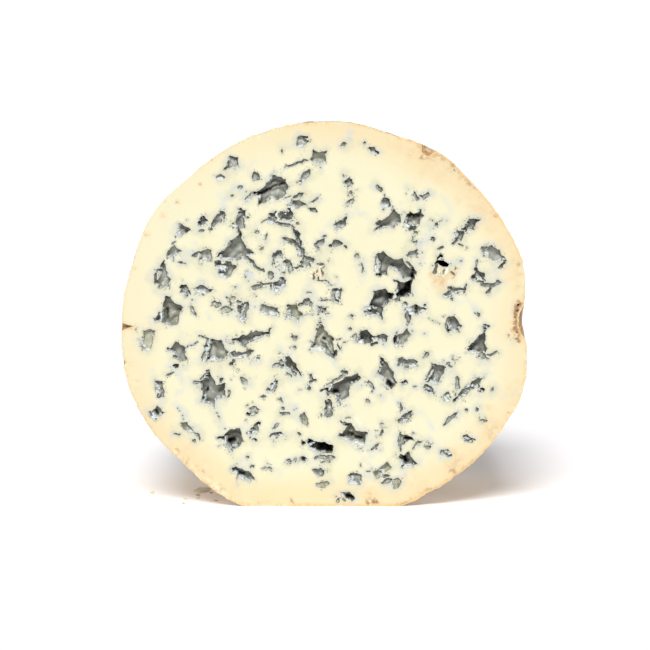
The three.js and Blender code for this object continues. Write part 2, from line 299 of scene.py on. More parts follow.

# %% [markdown]
# ## Outlines of the pockets
# All the pockets open on the cut, so they are first drawn there, as closed outlines in
# millimetres, x to the right and z up. The rims and depths of the large ones are read from the
# solid. The small ones, less than about two millimetres wide, are listed here. A pocket
# is a row: the middle, the length and width, and the tilt in degrees.

# %% Small pockets, as (x, z, length, width, tilt)
PLAIN_POCKETS = [
    (-33.2, 106.3, 2.5, 1.5, 0), (-39.3, 89.2, 2, 0.8, 0), (-27, 96, 1.5, 0.8, 0),
    (-24.6, 93.4, 0.8, 0.8, 0), (-22.3, 106.5, 3, 1.5, 70), (-23.3, 100.3, 5, 0.6, 27),
    (-27, 87.5, 3, 0.6, 90), (-40, 91, 1, 0.8, 0), (-36.3, 89.6, 1, 0.8, 0),
    (-29.6, 100.3, 1, 0.8, 0), (-31.2, 109.2, 2, 1, 20), (6.3, 116.6, 2.2, 1.4, 20),
    (16, 114.6, 3.5, 1.8, -30), (13, 117.2, 1, 0.9, 0), (-9.8, 110.4, 4, 0.5, 20),
    (8.7, 101.4, 1, 0.9, 0), (8.3, 98.4, 3, 1.2, 30), (-13.4, 114.6, 1.3, 0.5, 90),
    (-8, 100.5, 3.5, 1.3, 25), (-3.3, 98.5, 1.2, 0.5, 40), (-3.5, 95.7, 2.8, 1.2, -15),
    (-16.8, 92.5, 3, 2.2, 30), (-13, 91.2, 6, 1, -12), (-8.6, 91.5, 1, 0.9, 0),
    (-1.2, 85.4, 4, 1.8, 30), (4, 85.2, 3.2, 2, 0), (-18.6, 87.3, 2.2, 0.7, 75),
    (29.5, 88.6, 1.1, 0.9, 0), (30.9, 95.6, 1, 0.9, 0), (29.4, 100.2, 3.5, 1.1, -60),
    (32.6, 100.2, 3, 1.1, 45), (36, 91.2, 1.2, 1, 0), (34.8, 86.2, 1.6, 0.6, 0),
    (37.4, 83.6, 2, 0.8, 25), (-46.2, 79, 1.5, 0.6, 0), (-49.5, 82.2, 4.5, 0.6, 65),
    (-42, 63.5, 3.5, 0.8, -65), (-15, 81.5, 3.3, 2, 20), (-16.2, 79, 1.6, 0.8, 60),
    (-20, 83.2, 1.4, 1.3, 0), (-17, 74.4, 2, 1.2, 0), (-21.7, 71.1, 4.5, 1.3, 15),
    (-5.5, 66.3, 2.5, 2, 0), (-0.8, 64, 2, 1.4, -70), (9.7, 54.8, 1.2, 1, 0),
    (8.8, 61.7, 1.2, 1, 0), (8.3, 57.4, 1.2, 1, 0), (-9.5, 54.7, 1.8, 1.5, 0),
    (-9.5, 51.5, 1.3, 1.1, 0), (-15.4, 45.7, 2.5, 1, 0), (7, 43.2, 2, 1.5, 0),
    (10.8, 80.8, 2.2, 1, 90), (28.3, 81.8, 4, 1.6, 15), (56.8, 77.2, 1.3, 1.1, 0),
    (53.7, 71.9, 6.5, 1.3, 5), (45.3, 70.5, 3.5, 0.8, 75), (41.2, 67, 1.1, 0.9, 0),
    (27, 60.5, 2.5, 1, 80), (49.8, 62.1, 1.3, 1.1, 0), (51, 49, 2.2, 1.4, 0),
    (54.2, 49.4, 3, 0.6, 25), (52.7, 47.8, 1, 0.9, 0), (32.7, 48.9, 2.6, 1.2, 40),
    (39.8, 46.3, 1.2, 1, 0), (-41.3, 40.2, 2, 1, 0), (-32.8, 41.3, 1.1, 0.9, 0),
    (-30.8, 37, 1.5, 1, 90), (-26, 40.7, 3, 1.3, -30), (-41, 23, 3, 0.6, -45),
    (-46.8, 23.2, 1.1, 0.9, 0), (-42, 21.5, 1.1, 0.9, 0), (-24.8, 16.1, 1.1, 0.9, 0),
    (-23.2, 13, 1.2, 1, 0), (-16.2, 38.9, 4.6, 1.8, 60), (-4.2, 40.5, 1.5, 1.3, 0),
    (-19.8, 35.6, 1.5, 0.7, 0), (-13.2, 30.3, 3, 0.8, 0), (-13.3, 32, 1, 0.8, 0),
    (-13.8, 34.5, 1.5, 0.6, -70), (4.7, 33.8, 2, 0.7, -60), (15.2, 39.3, 3.3, 0.9, -55),
    (-15.3, 26.3, 1.5, 0.9, 45), (-15.5, 23.3, 4.5, 1.8, 10), (-8, 23.7, 1.1, 0.9, 0),
    (18.6, 24, 2.5, 0.8, 80), (16.7, 19.3, 2.5, 0.9, 45), (18.5, 26.6, 1, 0.9, 0),
    (-9.4, 15, 1.6, 0.7, 50), (-11.3, 14.5, 2, 1.6, 0), (-17.5, 12.2, 1.2, 1, 0),
    (-1.4, 11, 3.2, 2, 0), (20.4, 8.2, 4, 1.3, 20), (25.5, 40, 2.4, 2.2, 0),
    (29.2, 38.8, 1.1, 0.9, 0), (43, 40, 4, 1, 80), (54.4, 37.8, 2, 0.6, 70),
    (24.8, 32.5, 3, 0.9, -80), (26.3, 28.8, 5, 1.9, 35), (40.8, 28.5, 6.3, 0.9, 45),
    (46, 31.2, 1.1, 0.9, 0), (49.4, 31.4, 1.1, 0.9, 0), (51.5, 27.8, 2.4, 0.8, 0),
    (24.5, 21, 6, 0.8, 90), (28.8, 23.7, 1.1, 0.9, 0), (30.3, 20.6, 2.2, 1, 15),
    (33.5, 19.4, 1.6, 1.2, 0), (38.2, 17.5, 1.5, 1.3, 0), (40.2, 17.4, 2.3, 2, 0),
]
DARK_POCKETS = [
    (0.3, 63.8, 1.2, 0.7, 90), (-47.8, 45.6, 1.4, 1.2, 0), (-22.5, 21.5, 2, 1, 0),
    (-20.9, 26.9, 1.4, 1.2, 0), (-6.7, 15.4, 2.5, 1.4, -10), (51, 37.7, 1.5, 1.3, 0),
]
OLIVE_POCKETS = [
    (-21.5, 88.7, 1.3, 1.1, 0), (-35, 65.3, 3.5, 1.5, 10), (-31.5, 63.8, 3.8, 1.8, 0),
    (-29.3, 67.6, 1.5, 1.2, 0), (14.2, 34.2, 1.3, 0.8, 0), (0.3, 16.1, 6, 1.4, 0),
    (-0.3, 7.2, 4.2, 2, 10), (39.8, 35.5, 2.8, 2.6, 0), (23.3, 7.8, 2.8, 2.2, 0),
]
# %% [markdown]
# A crack, or a lobe of a larger pocket, is a width and then the points that it runs through.
# Some cracks are only a row of dots, and some smears of blue stay under the paste.

# %% Cracks, lobes and smears, each a width and then the x and z of its points
CRACKS = [
    (0.7, -27.5, 90, -26.8, 88, -27.5, 86.2, -30, 85), (0.35, -12.5, 100, -10.5, 100),
    (0.35, -25.5, 99.2, -23.5, 100.7, -22, 101.5, -20, 100.8), (0.4, -49, 85, -47.5, 85.8),
    (0.5, -12.5, 109.5, -10.5, 110, -8, 111.3, -5, 111.7), (0.4, 6, 107, 6.5, 106),
    (0.6, -10.5, 90.5, -9.5, 88.8, -8.5, 87.3, -8, 85.5), (0.4, 19.3, 101, 19.4, 99.7),
    (0.8, -13.5, 86.8, -11.5, 85.8, -9.5, 85.2), (0.4, -4.8, 97.8, -3, 98.6, -1.5, 99.8),
    (0.4, 16, 89, 17.5, 90.2), (0.5, 28.5, 87.5, 28.3, 86, 29.5, 85),
    (0.7, -50.5, 80.2, -49.8, 82, -48.8, 84), (0.6, -51.2, 79.6, -52.2, 77.8, -52.8, 76.3),
    (0.6, -54, 75.5, -54.3, 72), (0.4, -46.2, 79, -44.5, 78.8),
    (0.5, -43, 65, -42.3, 63.2, -41.8, 62.2), (0.4, -44.5, 51.5, -43, 52, -40.7, 53.2),
    (0.5, -40.3, 55.5, -39, 55.2, -37.5, 54.6, -36.5, 54.3), (0.6, -38.8, 51.8, -37.5, 51.6),
    (0.6, -38.6, 48.2, -38, 46.8), (0.6, -37.5, 44, -37, 43, -38, 42.3),
    (0.7, -16.3, 80, -16.2, 78.5), (0.4, -10, 77.3, -7.8, 77.4),
    (0.35, -21.5, 72.2, -19, 72.2, -16.5, 72.3), (0.4, 0.3, 73, 1.5, 72, 2.6, 71.5),
    (0.5, 5.5, 71, 5.7, 70.2), (0.4, -5.7, 69.2, -4, 69.4), (0.5, -1.2, 64.8, -0.7, 63, 0, 62.5),
    (0.35, 0.8, 62.7, 1.8, 62.5), (0.45, -4, 53.5, -3, 51.5, -5, 50.7), (0.5, 4, 53.7, 5.4, 54.5),
    (0.5, 6, 52.8, 7, 53), (0.8, 15, 55, 17.5, 55, 19.5, 55.8),
    (0.4, -21, 56, -18, 56.5, -17, 57.8), (0.8, -16.5, 45.7, -14, 46.5, -13.5, 45),
    (0.9, 5.6, 44, 6.5, 43.3, 7.3, 43), (0.5, 18, 48, 18.3, 46.5),
    (1.1, 26.3, 81, 27.5, 81.7, 30, 82), (0.8, 37.3, 80.5, 38, 80.8), (0.5, 39, 78, 40, 78),
    (0.6, 22.5, 73.3, 24, 72.5, 25, 71), (0.8, 27.3, 62, 27.2, 60, 26.8, 59),
    (0.5, 45, 70.5, 45.8, 71.8), (0.5, 44.7, 70, 45.3, 68.8),
    (0.9, 50.5, 72, 52, 71.3, 54, 71.5, 55, 72.3, 56.5, 72.2),
    (0.7, 53.7, 71, 53, 69.8, 52.3, 69.4), (0.8, 58.5, 80, 57.3, 78.5, 56.8, 77.3),
    (0.8, 51, 81.5, 51, 80.8), (1.2, 51.8, 59, 51.5, 56), (0.8, 52.3, 58.5, 53.3, 58.3),
    (0.8, 50.5, 49.8, 51, 48.5, 52, 48.3), (0.5, 52.5, 49, 54, 49.3, 55.8, 50.2),
    (0.5, 39.8, 46.3, 40.8, 45.3), (0.5, -42, 24, -41, 23.5, -40.5, 22.5, -40, 21.8),
    (0.6, -42.2, 40.6, -41.5, 39.9, -40, 40.2), (0.6, -34.5, 22.3, -33, 21.8),
    (0.5, -30.7, 37, -31, 35.5), (0.5, -23.8, 12.4, -23.5, 13.5, -22.5, 13.7),
    (0.6, -13.8, 30, -13, 30.3, -12, 30.1, -11, 30), (0.5, -20, 35.5, -19.5, 35.7, -18.5, 35.7),
    (0.5, -1.3, 37.5, 0.6, 37.5), (0.7, 4.2, 34.8, 4.6, 34, 5, 33), (0.4, -1, 30, -1, 29.2),
    (0.45, 5.3, 28, 6, 27, 6.8, 26.6, 7.5, 26.4, 8.5, 26), (0.6, 14, 40.5, 15, 39.2, 16, 38),
    (0.6, -16, 25.5, -15, 26.5), (0.6, 18.7, 25, 18.7, 24, 18.5, 23),
    (0.5, 17, 19.6, 16.3, 18.8, 15.3, 18.3), (0.5, -9.5, 14.4, -9, 15.2),
    (0.6, -12, 15.2, -11.3, 14.4, -10.8, 13.8), (0.6, -11, 15.2, -11.9, 13.6),
    (0.5, 4.1, 1.9, 4.9, 2.6), (0.7, 19, 8, 20, 8.6, 21, 9), (0.5, 3.2, 15.6, 1, 14.5, -0.8, 14.4),
    (0.8, 31.8, 38.5, 33.4, 39.1, 34, 38, 35, 37, 35.5, 36.3), (0.7, 32.3, 38, 33.8, 37.6),
    (0.6, 43, 42, 43, 40, 43.3, 38.3), (0.6, 49.7, 40, 49.9, 38.5),
    (0.55, 41.7, 34.3, 43, 35.5, 44, 36.5, 45, 38), (1, 44.6, 37.4, 46, 38.6, 47.4, 39.6),
    (0.55, 47, 39.6, 48.5, 40.4, 50, 41.6), (0.6, 54, 37.3, 54.7, 38.8),
    (0.5, 24.5, 33.5, 25, 32.5, 24.7, 31), (0.5, 27.2, 30.6, 28.2, 31, 28.4, 30.2),
    (0.5, 38.5, 26.3, 39.5, 27.3, 40.2, 28.5, 40.7, 29.2), (0.7, 42, 30.6, 42.6, 30),
    (0.7, 50.3, 27.6, 52.5, 27.8), (0.6, 24.5, 23.2, 24.3, 21, 24.8, 18),
    (0.7, 29.6, 20, 31, 20.7), (0.6, 37.6, 17.4, 38.1, 18),
]
PATCHES = [
    (1, -21.5, 107.5, -21.3, 106, -22, 105.5), (0.9, -8.5, 118.6, -7, 119.2, -5.3, 118.8),
    (0.8, -8.6, 117.5, -8.3, 116.5), (0.5, -6.4, 116.7, -6.1, 116.3),
    (0.5, -36.7, 112.1, -36, 112.4), (0.9, -27.6, 102.9, -26.2, 103.2),
    (1.4, -20.8, 100.5, -20.3, 99), (1.6, -10.8, 97.5, -9.5, 97), (0.9, -8.3, 104.6, -6.8, 105.6),
    (0.7, -9.8, 99.6, -8.8, 99.9), (0.6, -6.3, 97.1, -6, 97.1), (0.6, -5.1, 96.2, -4.9, 96.2),
    (1.8, -17.8, 94, -16.2, 93.8, -15.4, 92.8), (1.6, -14.3, 93.6, -12.8, 95.3),
    (0.7, -12, 92.7, -10.8, 92.4), (1, -33.2, 95.5, -32.2, 94.5, -32.4, 93.2),
    (1.2, -29.5, 91.2, -28.2, 90.8), (0.8, -27.5, 90.2, -25.8, 90.2),
    (0.8, -46.6, 90, -46.6, 87.8), (1, -42.5, 81.3, -41, 81.6, -40, 82.3),
    (1, -39.8, 79.5, -38.8, 80.2), (2, -33, 81, -31, 80.6, -28.5, 80.8, -26, 81.2),
    (0.9, -26, 81, -24, 80.2), (0.7, -24, 80.2, -22.5, 79, -22, 77.8, -20.8, 76.8, -19, 76),
    (0.9, -35, 78.8, -33.5, 79.2), (1.2, -33.3, 76.5, -33, 74.9, -31, 74.6),
    (1.6, -9.3, 85.5, -8, 83.5, -7, 82, -6.8, 80.7), (1.4, -7.5, 79.5, -6.5, 78.3),
    (1.4, -5.5, 78.8, -4.5, 77.5), (0.7, -8.3, 77.7, -6.5, 78),
    (0.9, -13.2, 77.8, -13.1, 75.8, -12.6, 75.6), (0.9, -11.6, 77.3, -11, 75.8),
    (0.6, -15.8, 77.4, -15.5, 77.4), (0.6, -25.1, 76, -24.4, 76.2), (0.5, -25.3, 74.6, -25, 73.9),
    (1.2, -18, 75.3, -16.6, 75.2), (1, -14.3, 73.3, -12.8, 73.6), (0.7, -17.6, 71.8, -17.2, 70.3),
    (0.8, -29, 71.1, -28.7, 71), (0.6, -22.4, 69, -22.2, 68.6), (1, -53.8, 75.8, -52.8, 76.5),
    (1, -53.2, 71.5, -52.5, 70.8), (0.7, -50.8, 71.5, -50.3, 71),
    (1.2, -41, 69.9, -38.8, 69.6, -37.5, 70.1), (0.6, -39, 69.3, -38.8, 68.7),
    (1, -46.2, 69.4, -44.8, 69.6), (1, -44, 69.2, -43.3, 68.5), (0.9, -36.2, 65.8, -35, 66.4),
    (0.8, -28, 66.3, -26.4, 66.1), (0.9, -27, 65.3, -27.2, 63.5), (1.2, -26.2, 63.5, -26, 60.5),
    (1, -20.3, 63.8, -19.3, 63.5), (1, -18.6, 62.4, -17.6, 62.2), (0.8, -15.5, 62.6, -14.3, 63),
    (0.8, -8, 65.5, -6.5, 65.6), (0.9, -4.5, 66.5, -4.3, 65.3), (1.4, -2, 65, -1.8, 63),
    (0.9, -3, 85.2, -2.3, 83.8, -1.8, 82.9), (0.6, -2.4, 78.9, -1.3, 78.4, 0, 78.2),
    (0.35, -2, 73.1, 0, 72.7, 2.6, 71.5), (2.6, 7.4, 105.4, 7.9, 104.6),
    (1, 16.8, 104, 17.5, 102.8, 18.7, 101.9), (2.4, 19.6, 98.8, 19.4, 97.3),
    (0.7, 22.1, 96.9, 22.1, 96.5), (0.8, 19, 96.2, 19, 95.9), (1, 17, 90.7, 18.2, 92),
    (1.4, 27, 94.5, 26.5, 92.5, 26.8, 90.5), (1, 26.8, 90.1, 29, 89.7),
    (1.2, 30.5, 100, 31.5, 99.6), (0.5, 28, 100.7, 28.2, 100.6), (0.5, 26.4, 101, 26.6, 100.8),
    (0.7, 34.2, 86.9, 35.4, 86.3, 35, 85.4), (0.8, 6, 92.8, 7.2, 93.3), (0.9, 4, 89.5, 5.5, 89.9),
    (1, -0.5, 86.8, 0.5, 87.5), (1, 2, 84.8, 2.2, 83.9), (0.7, 6.5, 84.3, 7.2, 83.5),
    (0.8, 10.2, 81.8, 10.3, 80.3), (1.2, 17.8, 82, 17, 80.5, 16.9, 78.5, 17.2, 76),
    (1, 16.5, 75.3, 18, 75), (1.2, 21.5, 77.7, 23.5, 77, 25, 75.3, 26, 73.8),
    (0.6, 26.5, 79.3, 28, 77.8, 29.3, 76.2, 29.2, 75), (1.2, 24, 72, 23.9, 70, 23.6, 68.2),
    (0.8, 23.5, 67.8, 27, 68.3), (0.8, 22.8, 66.9, 24.3, 66.8), (1.4, 25.2, 65.3, 27, 65.2),
    (1.6, 26.8, 64.5, 26.9, 62, 27.3, 61), (1, 32.3, 65.6, 32.6, 64.8),
    (1.6, 36.2, 79.8, 37.3, 81.2, 38.3, 80.5), (0.6, 43.6, 79.4, 44.3, 79.8),
    (0.6, 45.8, 83.8, 46.1, 83.6), (0.8, 44.3, 89.3, 46, 89.1),
    (1.2, 50.3, 83.5, 51.5, 82.8, 51, 81.2), (1.2, 53, 81, 55, 80.3, 57.3, 80.1),
    (0.6, 49.3, 79.8, 49, 78.5, 48.8, 77.5), (1.2, 48, 77, 49.5, 76.8), (0.9, 47.2, 74, 49, 73.7),
    (0.8, 49, 72.9, 51.5, 72.6), (0.8, 55, 73, 56.5, 72.6), (1.2, 38.7, 68.7, 40.5, 68.5, 42, 69),
    (0.8, 40, 70.6, 41.3, 70.9), (1.6, 13.3, 63.8, 15, 64.3), (1.4, 12.8, 63.5, 15, 63, 17, 62.2),
    (1.2, 2.6, 70, 2.7, 68, 3.3, 66.8, 4.5, 66.3), (0.8, 2.6, 70.1, 5.5, 70),
    (0.8, 1.5, 79.7, 1.6, 79.3), (0.6, 4, 74.2, 4.1, 73.8), (0.5, 30.5, 78.1, 30.7, 78.1),
    (0.5, 31.3, 81.8, 31.5, 81.8), (0.5, 29.5, 84.6, 29.6, 84.3), (1.8, -57.5, 53, -57, 51.8),
    (0.5, -59.6, 54.2, -59.4, 53.8), (1, -54, 60.2, -53.3, 61.5, -53, 63),
    (0.8, -51, 59.4, -48.5, 59.3), (0.8, -50.5, 51.3, -49.5, 51),
    (0.9, -48.5, 49, -46.5, 48, -44.8, 47.9),
    (1, -37, 54.3, -37.8, 52.5, -38, 50, -39, 48.5, -38.5, 47),
    (1.6, -36.5, 48.8, -34.5, 47.8, -32.2, 48.2), (0.8, -29.5, 54, -28.8, 52.9),
    (1.4, -29.8, 49, -28.5, 50), (0.9, -29, 47.8, -29.3, 46.8), (1, -30.5, 46.2, -29.3, 46.5),
    (1.2, -21.8, 48, -21, 48.1), (0.5, -23.3, 47.4, -23.1, 47.4), (0.6, -14.1, 50.2, -14, 49.8),
    (0.8, -38, 44.2, -37, 44.2), (0.6, -40, 41.3, -38.5, 42.8, -37.3, 43.5),
    (1, -32.9, 41.5, -33.2, 40.2), (1, -39, 34.3, -38.7, 35.8), (0.8, -35, 35.3, -33, 35.4),
    (1.4, -54.8, 40.2, -52.5, 40.2, -52.3, 39), (1.4, -53.2, 37, -53.7, 35.4, -52.5, 35.6),
    (1, -56.3, 30.9, -55.5, 29.6), (0.9, -54.5, 28.9, -53, 29.3), (0.7, -44.5, 24.9, -43, 24.3),
    (0.9, -31.5, 20.2, -30.3, 18.7, -30, 17.8), (1.3, -25, 23.7, -24, 24.2, -23, 23.1),
    (0.9, -25, 30.2, -24, 30), (1, -23, 31.9, -21.8, 32), (0.8, -16.5, 22.6, -15, 22.6),
    (0.5, -12.1, 22.7, -11.9, 22.5), (1.6, -29.5, 12.3, -29.3, 11),
    (1, -28, 10, -25.5, 9.2, -23.3, 8.5), (0.9, -18.5, 38.3, -17.3, 37.5),
    (0.7, -17.5, 39, -16.5, 40), (1, -4.3, 43, -4, 41.5), (0.6, -4, 41.3, -2.3, 41.1),
    (1, -5.2, 38.7, -4.6, 38.1), (1, -14.2, 47.5, -12.8, 46, -11, 44.3, -9, 42.8),
    (0.5, -12.3, 43.6, -10.3, 42.2), (1, -6.5, 21.3, -7, 20.1),
    (1.2, -4.5, 19.3, -2.5, 18.2, -1, 17.6), (0.8, -2.8, 16.2, -3, 15.2),
    (0.8, -12, 15.2, -11.8, 13.7), (0.9, -3.5, 11.9, -2.3, 12), (0.9, -2, 10.1, -0.3, 10.1),
    (0.9, -2.7, 6.9, -1, 6.8), (0.9, 0.7, 50, 2, 48.9, 3.7, 48.3), (0.8, 3.6, 51, 4, 49),
    (0.8, 10.5, 56, 10.3, 53.7), (0.8, 15, 52.6, 17.3, 53.2), (0.8, 19.5, 55, 19.7, 53.5),
    (1, 23, 55.5, 22.6, 53.8, 23.5, 52.3, 24.3, 52), (0.6, 32.1, 56.3, 32.3, 56.1),
    (0.7, 40, 61, 39.5, 59, 39.5, 57.5, 40, 56.3), (1, 41.2, 57, 42.7, 56.7),
    (0.7, 49.2, 62.7, 49.7, 62.4), (1.2, 46.7, 51.3, 48, 50.5, 51, 50.2),
    (1.2, 50, 49.2, 50.8, 48.5), (0.8, 41.7, 48.9, 42, 48.9), (1.2, 23.8, 46, 24, 45.5),
    (1.2, 25.8, 45.3, 27, 44.9), (0.9, 27, 47.6, 30, 47),
    (0.55, 34.8, 46.2, 34.8, 44.5, 33.3, 42.5, 32.5, 41.3), (1.4, 34.5, 40.8, 36, 40.3),
    (1.4, 18, 47, 18.3, 45.3, 17.3, 43.3, 18.8, 42), (1.2, 20.3, 40.5, 20.6, 39, 22, 38.7),
    (0.6, 18.8, 39.8, 19, 39.6), (0.7, 18, 36.3, 18.2, 36.1), (0.8, 15.4, 37.5, 15.8, 37.4),
    (0.65, 1, 39, 3, 40.7, 5.5, 42, 7.5, 43), (0.9, 0.9, 37.2, 1.2, 36),
    (0.6, 0.7, 34.5, 0.7, 32.5, 0.3, 31.3), (0.9, 4.8, 35.7, 5.5, 35),
    (0.8, 42.2, 38.8, 43.5, 38.6), (0.7, 39.2, 36.3, 38.7, 35),
    (1.2, 23.8, 27.8, 25.5, 28, 27.2, 28.5), (0.8, 6.7, 27.2, 7, 26.8),
    (1.2, 4.7, 23.3, 6.5, 22.3, 8.5, 21.5, 10.5, 21.4, 12, 20.3), (0.6, 11.5, 19.2, 12.3, 18.8),
    (0.5, 18.1, 22.9, 18.2, 22.6), (0.9, 17.6, 20.5, 17.8, 20.3), (1.2, 25.2, 21, 25.8, 20.2),
    (1, 44.4, 22.5, 46, 21.5, 48, 21.3), (0.9, 39.2, 17.2, 39.7, 16.4, 41, 16.5),
    (1.6, 25, 16.8, 24.5, 15.2), (1.4, 25.3, 13.5, 25.7, 12.7), (1.2, 16.7, 10, 18.5, 10.7),
    (1, 18.8, 10, 21, 9.8), (1, 7.6, 10.2, 8.3, 9.2, 8.8, 7.6), (1.6, 10.8, 9.5, 10.9, 8, 11, 7.3),
    (1, 23.7, 8, 24, 6.8, 22.4, 6.2), (0.7, 5.8, 3.8, 6, 2.8, 7, 2), (0.8, 4.2, 2, 4.3, 1.2),
    (0.8, 0, 15.6, 2.8, 15.4),
]
OLIVE_CRACKS = [
    (0.4, -15, 95.5, -17, 94, -20, 91.5), (0.9, 43, 88.5, 43.5, 87, 42, 85.3, 41, 84.8),
    (0.5, 43.5, 85, 44.5, 84.2), (0.4, -31.5, 68, -30, 66, -29.8, 65), (0.4, 4.3, 52.5, 5.3, 51),
    (0.4, -48.3, 43.8, -49.5, 43, -50.8, 42.5), (0.5, -39.2, 69, -38.6, 68.4),
    (0.4, -2, 66.2, -0.5, 66.8, 1, 67, 2.3, 66.8), (0.4, 12, 79, 12.5, 77, 12.3, 75.8),
    (0.5, -31.2, 53, -30.4, 52.6), (0.4, -34.8, 30.8, -34.2, 30.1), (0.4, -34, 29.3, -33.4, 28.5),
    (0.5, -48.6, 23.6, -47, 23.1), (0.6, -25, 32.7, -24, 33),
    (0.5, -15, 35, -14, 34.7, -13.3, 33.5), (0.5, 13.5, 34.5, 14.3, 34.4),
    (0.4, 8.3, 28.8, 7, 28.8), (0.5, 12, 14, 12.1, 12.8), (0.5, 13.9, 11.4, 15.2, 11.3),
    (0.5, -20.2, 12, -19, 12.5, -18, 12), (0.5, 45.6, 31, 46.4, 31.4),
    (0.6, 22.3, 6.3, 24, 6.7, 24.5, 8, 24, 9.2), (0.7, 38.6, 34.2, 39, 36, 40, 36.7, 40.6, 36.2),
    (0.9, 36.5, 79.6, 36.1, 78, 35.6, 76.6, 35.4, 75.4), (0.5, 28.2, 18.8, 29.6, 20),
    (0.4, 49, 31.4, 49.8, 31.5), (0.4, -17, 25.3, -16.2, 25.6),
]
BROWN_CRACKS = [
    (0.5, -3.4, 75.9, -3.4, 73.1), (0.45, -0.6, 76.7, -0.5, 74.6), (0.4, 0.35, 78.2, 0.2, 76.9),
    (0.35, -2.2, 76.9, -2.3, 75.8), (0.3, -1.8, 74.4, -1.7, 73.4), (0.35, 38.4, 76.7, 38.1, 75.2),
    (0.35, 42.1, 76.7, 42.6, 77.3), (0.4, 40.8, 76.1, 41.3, 75.2, 41.9, 74.6),
    (0.9, -61, 58.1, -59.8, 58.2), (0.5, -60.5, 57.8, -60.5, 56.9),
    (0.9, 31.4, 115, 31.8, 114, 32.7, 113.2), (0.7, 33, 113.3, 34, 114),
    (1, 40.8, 110.3, 41.8, 109.7), (0.5, 41.7, 108.5, 41.9, 108), (0.5, 42.7, 109, 43.3, 108.6),
    (0.8, 61.9, 65.4, 62.8, 65.3), (0.7, 62.4, 63.6, 62.1, 62.9), (0.6, 61.3, 60.8, 61.6, 61.4),
    (0.7, 61.9, 56.6, 62.2, 56.1), (0.6, 62.8, 55.4, 63.2, 55.2), (0.6, 61.3, 54.6, 61.6, 54.4),
    (0.5, 59.4, 55.8, 59.6, 55.6),
]
DOTTED_CRACKS = [
    (0.5, -37, 89.5, -35, 90.8), (0.5, 8.7, 101.3, 9.5, 100, 9.6, 99), (0.5, 35, 89.8, 35.6, 90.4),
    (0.5, 24.5, 94, 25.5, 94.8, 26.8, 94.5), (0.5, 37.5, 92.5, 36.5, 91.7),
    (0.5, 34, 92.7, 35, 92.3), (0.7, -53.8, 60, -53, 61.5, -52.3, 63, -51.8, 64.6),
    (0.5, -30.5, 46.2, -29.5, 46.5, -28.8, 45), (0.4, -4, 64, -4, 62.3, -6, 62, -3, 62.3),
    (0.7, -2, 62, -1.3, 61, -1.5, 59.5, -2, 58, -2.2, 56.5), (0.5, 33.5, 61, 35, 60, 37.3, 59.6),
    (0.5, 41.5, 48.8, 41.5, 47.2, 43, 47.2), (0.5, 13.5, 40.5, 13.5, 39.6),
    (0.6, -5.5, 39.7, -4.8, 38), (0.5, -9.5, 31.3, -8.7, 31.8), (0.6, -34.2, 19.8, -32.6, 20.1),
    (0.6, -47.4, 32.1, -46.6, 31.4), (0.5, -45.6, 29.5, -45.5, 28.5), (0.5, 18.7, 25.7, 20, 25.6),
    (0.5, 33.2, 21, 34.4, 20.3), (0.4, -28.4, 14, -27.8, 6.8),
    (0.35, 61.5, 65, 61.8, 59, 62, 56.5),
]
BLUE_SMEARS = [
    (0.7, 7, 93, 8, 95, 13, 95, 15, 92), (0.7, -32.3, 97, -32.3, 99, -31.5, 100),
    (0.7, 23, 97, 25, 98.2), (0.7, 38, 100, 40, 98, 41, 95), (0.9, -47.5, 36.6, -46.3, 37.2),
    (0.7, 18.3, 36, 20, 34.7), (0.6, -43, 28.5, -42.6, 28.5), (0.6, -9.3, 33, -8, 33.3),
    (0.9, 35.5, 21, 37, 18, 37.6, 15), (0.6, 57.3, 35.3, 58.5, 36.3), (0.6, -28.4, 8, -27.6, 6.6),
    (0.7, 47.5, 35.5, 47.5, 32.5), (0.7, 45.2, 20.4, 44, 19), (0.7, -32.6, 79.5, -34, 76.5),
    (0.7, -24.5, 75, -24.5, 76.2), (0.7, 40.5, 78.2, 43, 79, 45.5, 81),
    (1.2, 26, 52, 24.5, 49, 25.5, 47.5), (0.9, 1.5, 48, 3.5, 46, 3.8, 44.5),
    (1.4, 22, 36.5, 23.8, 33.5), (1, 40, 62.5, 43, 64.5, 45, 67),
    (1.2, 17.5, 54.5, 20.5, 51, 21, 49.5), (0.9, 60.5, 36, 61.5, 37.5),
    (1, -33.5, 101, -32, 98, -32, 95.5), (1.2, -24, 108.5, -22, 111),
    (1, 1.5, 84, -1, 88, 1.5, 91), (1.2, -41, 66.5, -38.5, 64.5, -36.5, 61),
    (1, -50, 45.5, -46.5, 42, -45, 39), (1.2, -15, 53, -12, 49.5, -9, 48.5),
    (1, -31, 43.5, -28, 41.5, -24, 39.5), (1, 8, 12.5, 12.5, 15.5, 16, 16),
    (1.2, 30, 31, 33.5, 28.5, 35.5, 25), (1, 12, 73, 13.5, 76, 11.5, 79.5),
    (1, -15.5, 8.5, -13, 12), (1, 47, 61, 48.5, 64.5, 46.5, 66),
    (1.2, 30.5, 84.5, 33, 88, 33.8, 90), (1.3, -26.9, 103, -25.1, 103.3),
    (1.2, -29.2, 102.3, -28.8, 102.6), (1.2, -41.7, 85, -41.3, 85.3), (2, 8.1, 120.3, 8.5, 120.6),
    (2, -42.2, 81.8, -41.8, 82.1), (2, -24.2, 75, -23.8, 75.3), (1.2, -28.2, 71.3, -27.8, 71.6),
    (1, -56.2, 44, -55.8, 44.3), (1.1, -47.2, 37, -46.8, 37.3), (1, -47, 31.8, -46.6, 32.1),
    (1.1, -45.9, 29.3, -45.5, 29.6), (1.2, -43.2, 28.5, -42.8, 28.8),
    (1.1, -34.2, 19.8, -33.8, 20.1), (1, -9.2, 32.5, -8.8, 32.8),
]
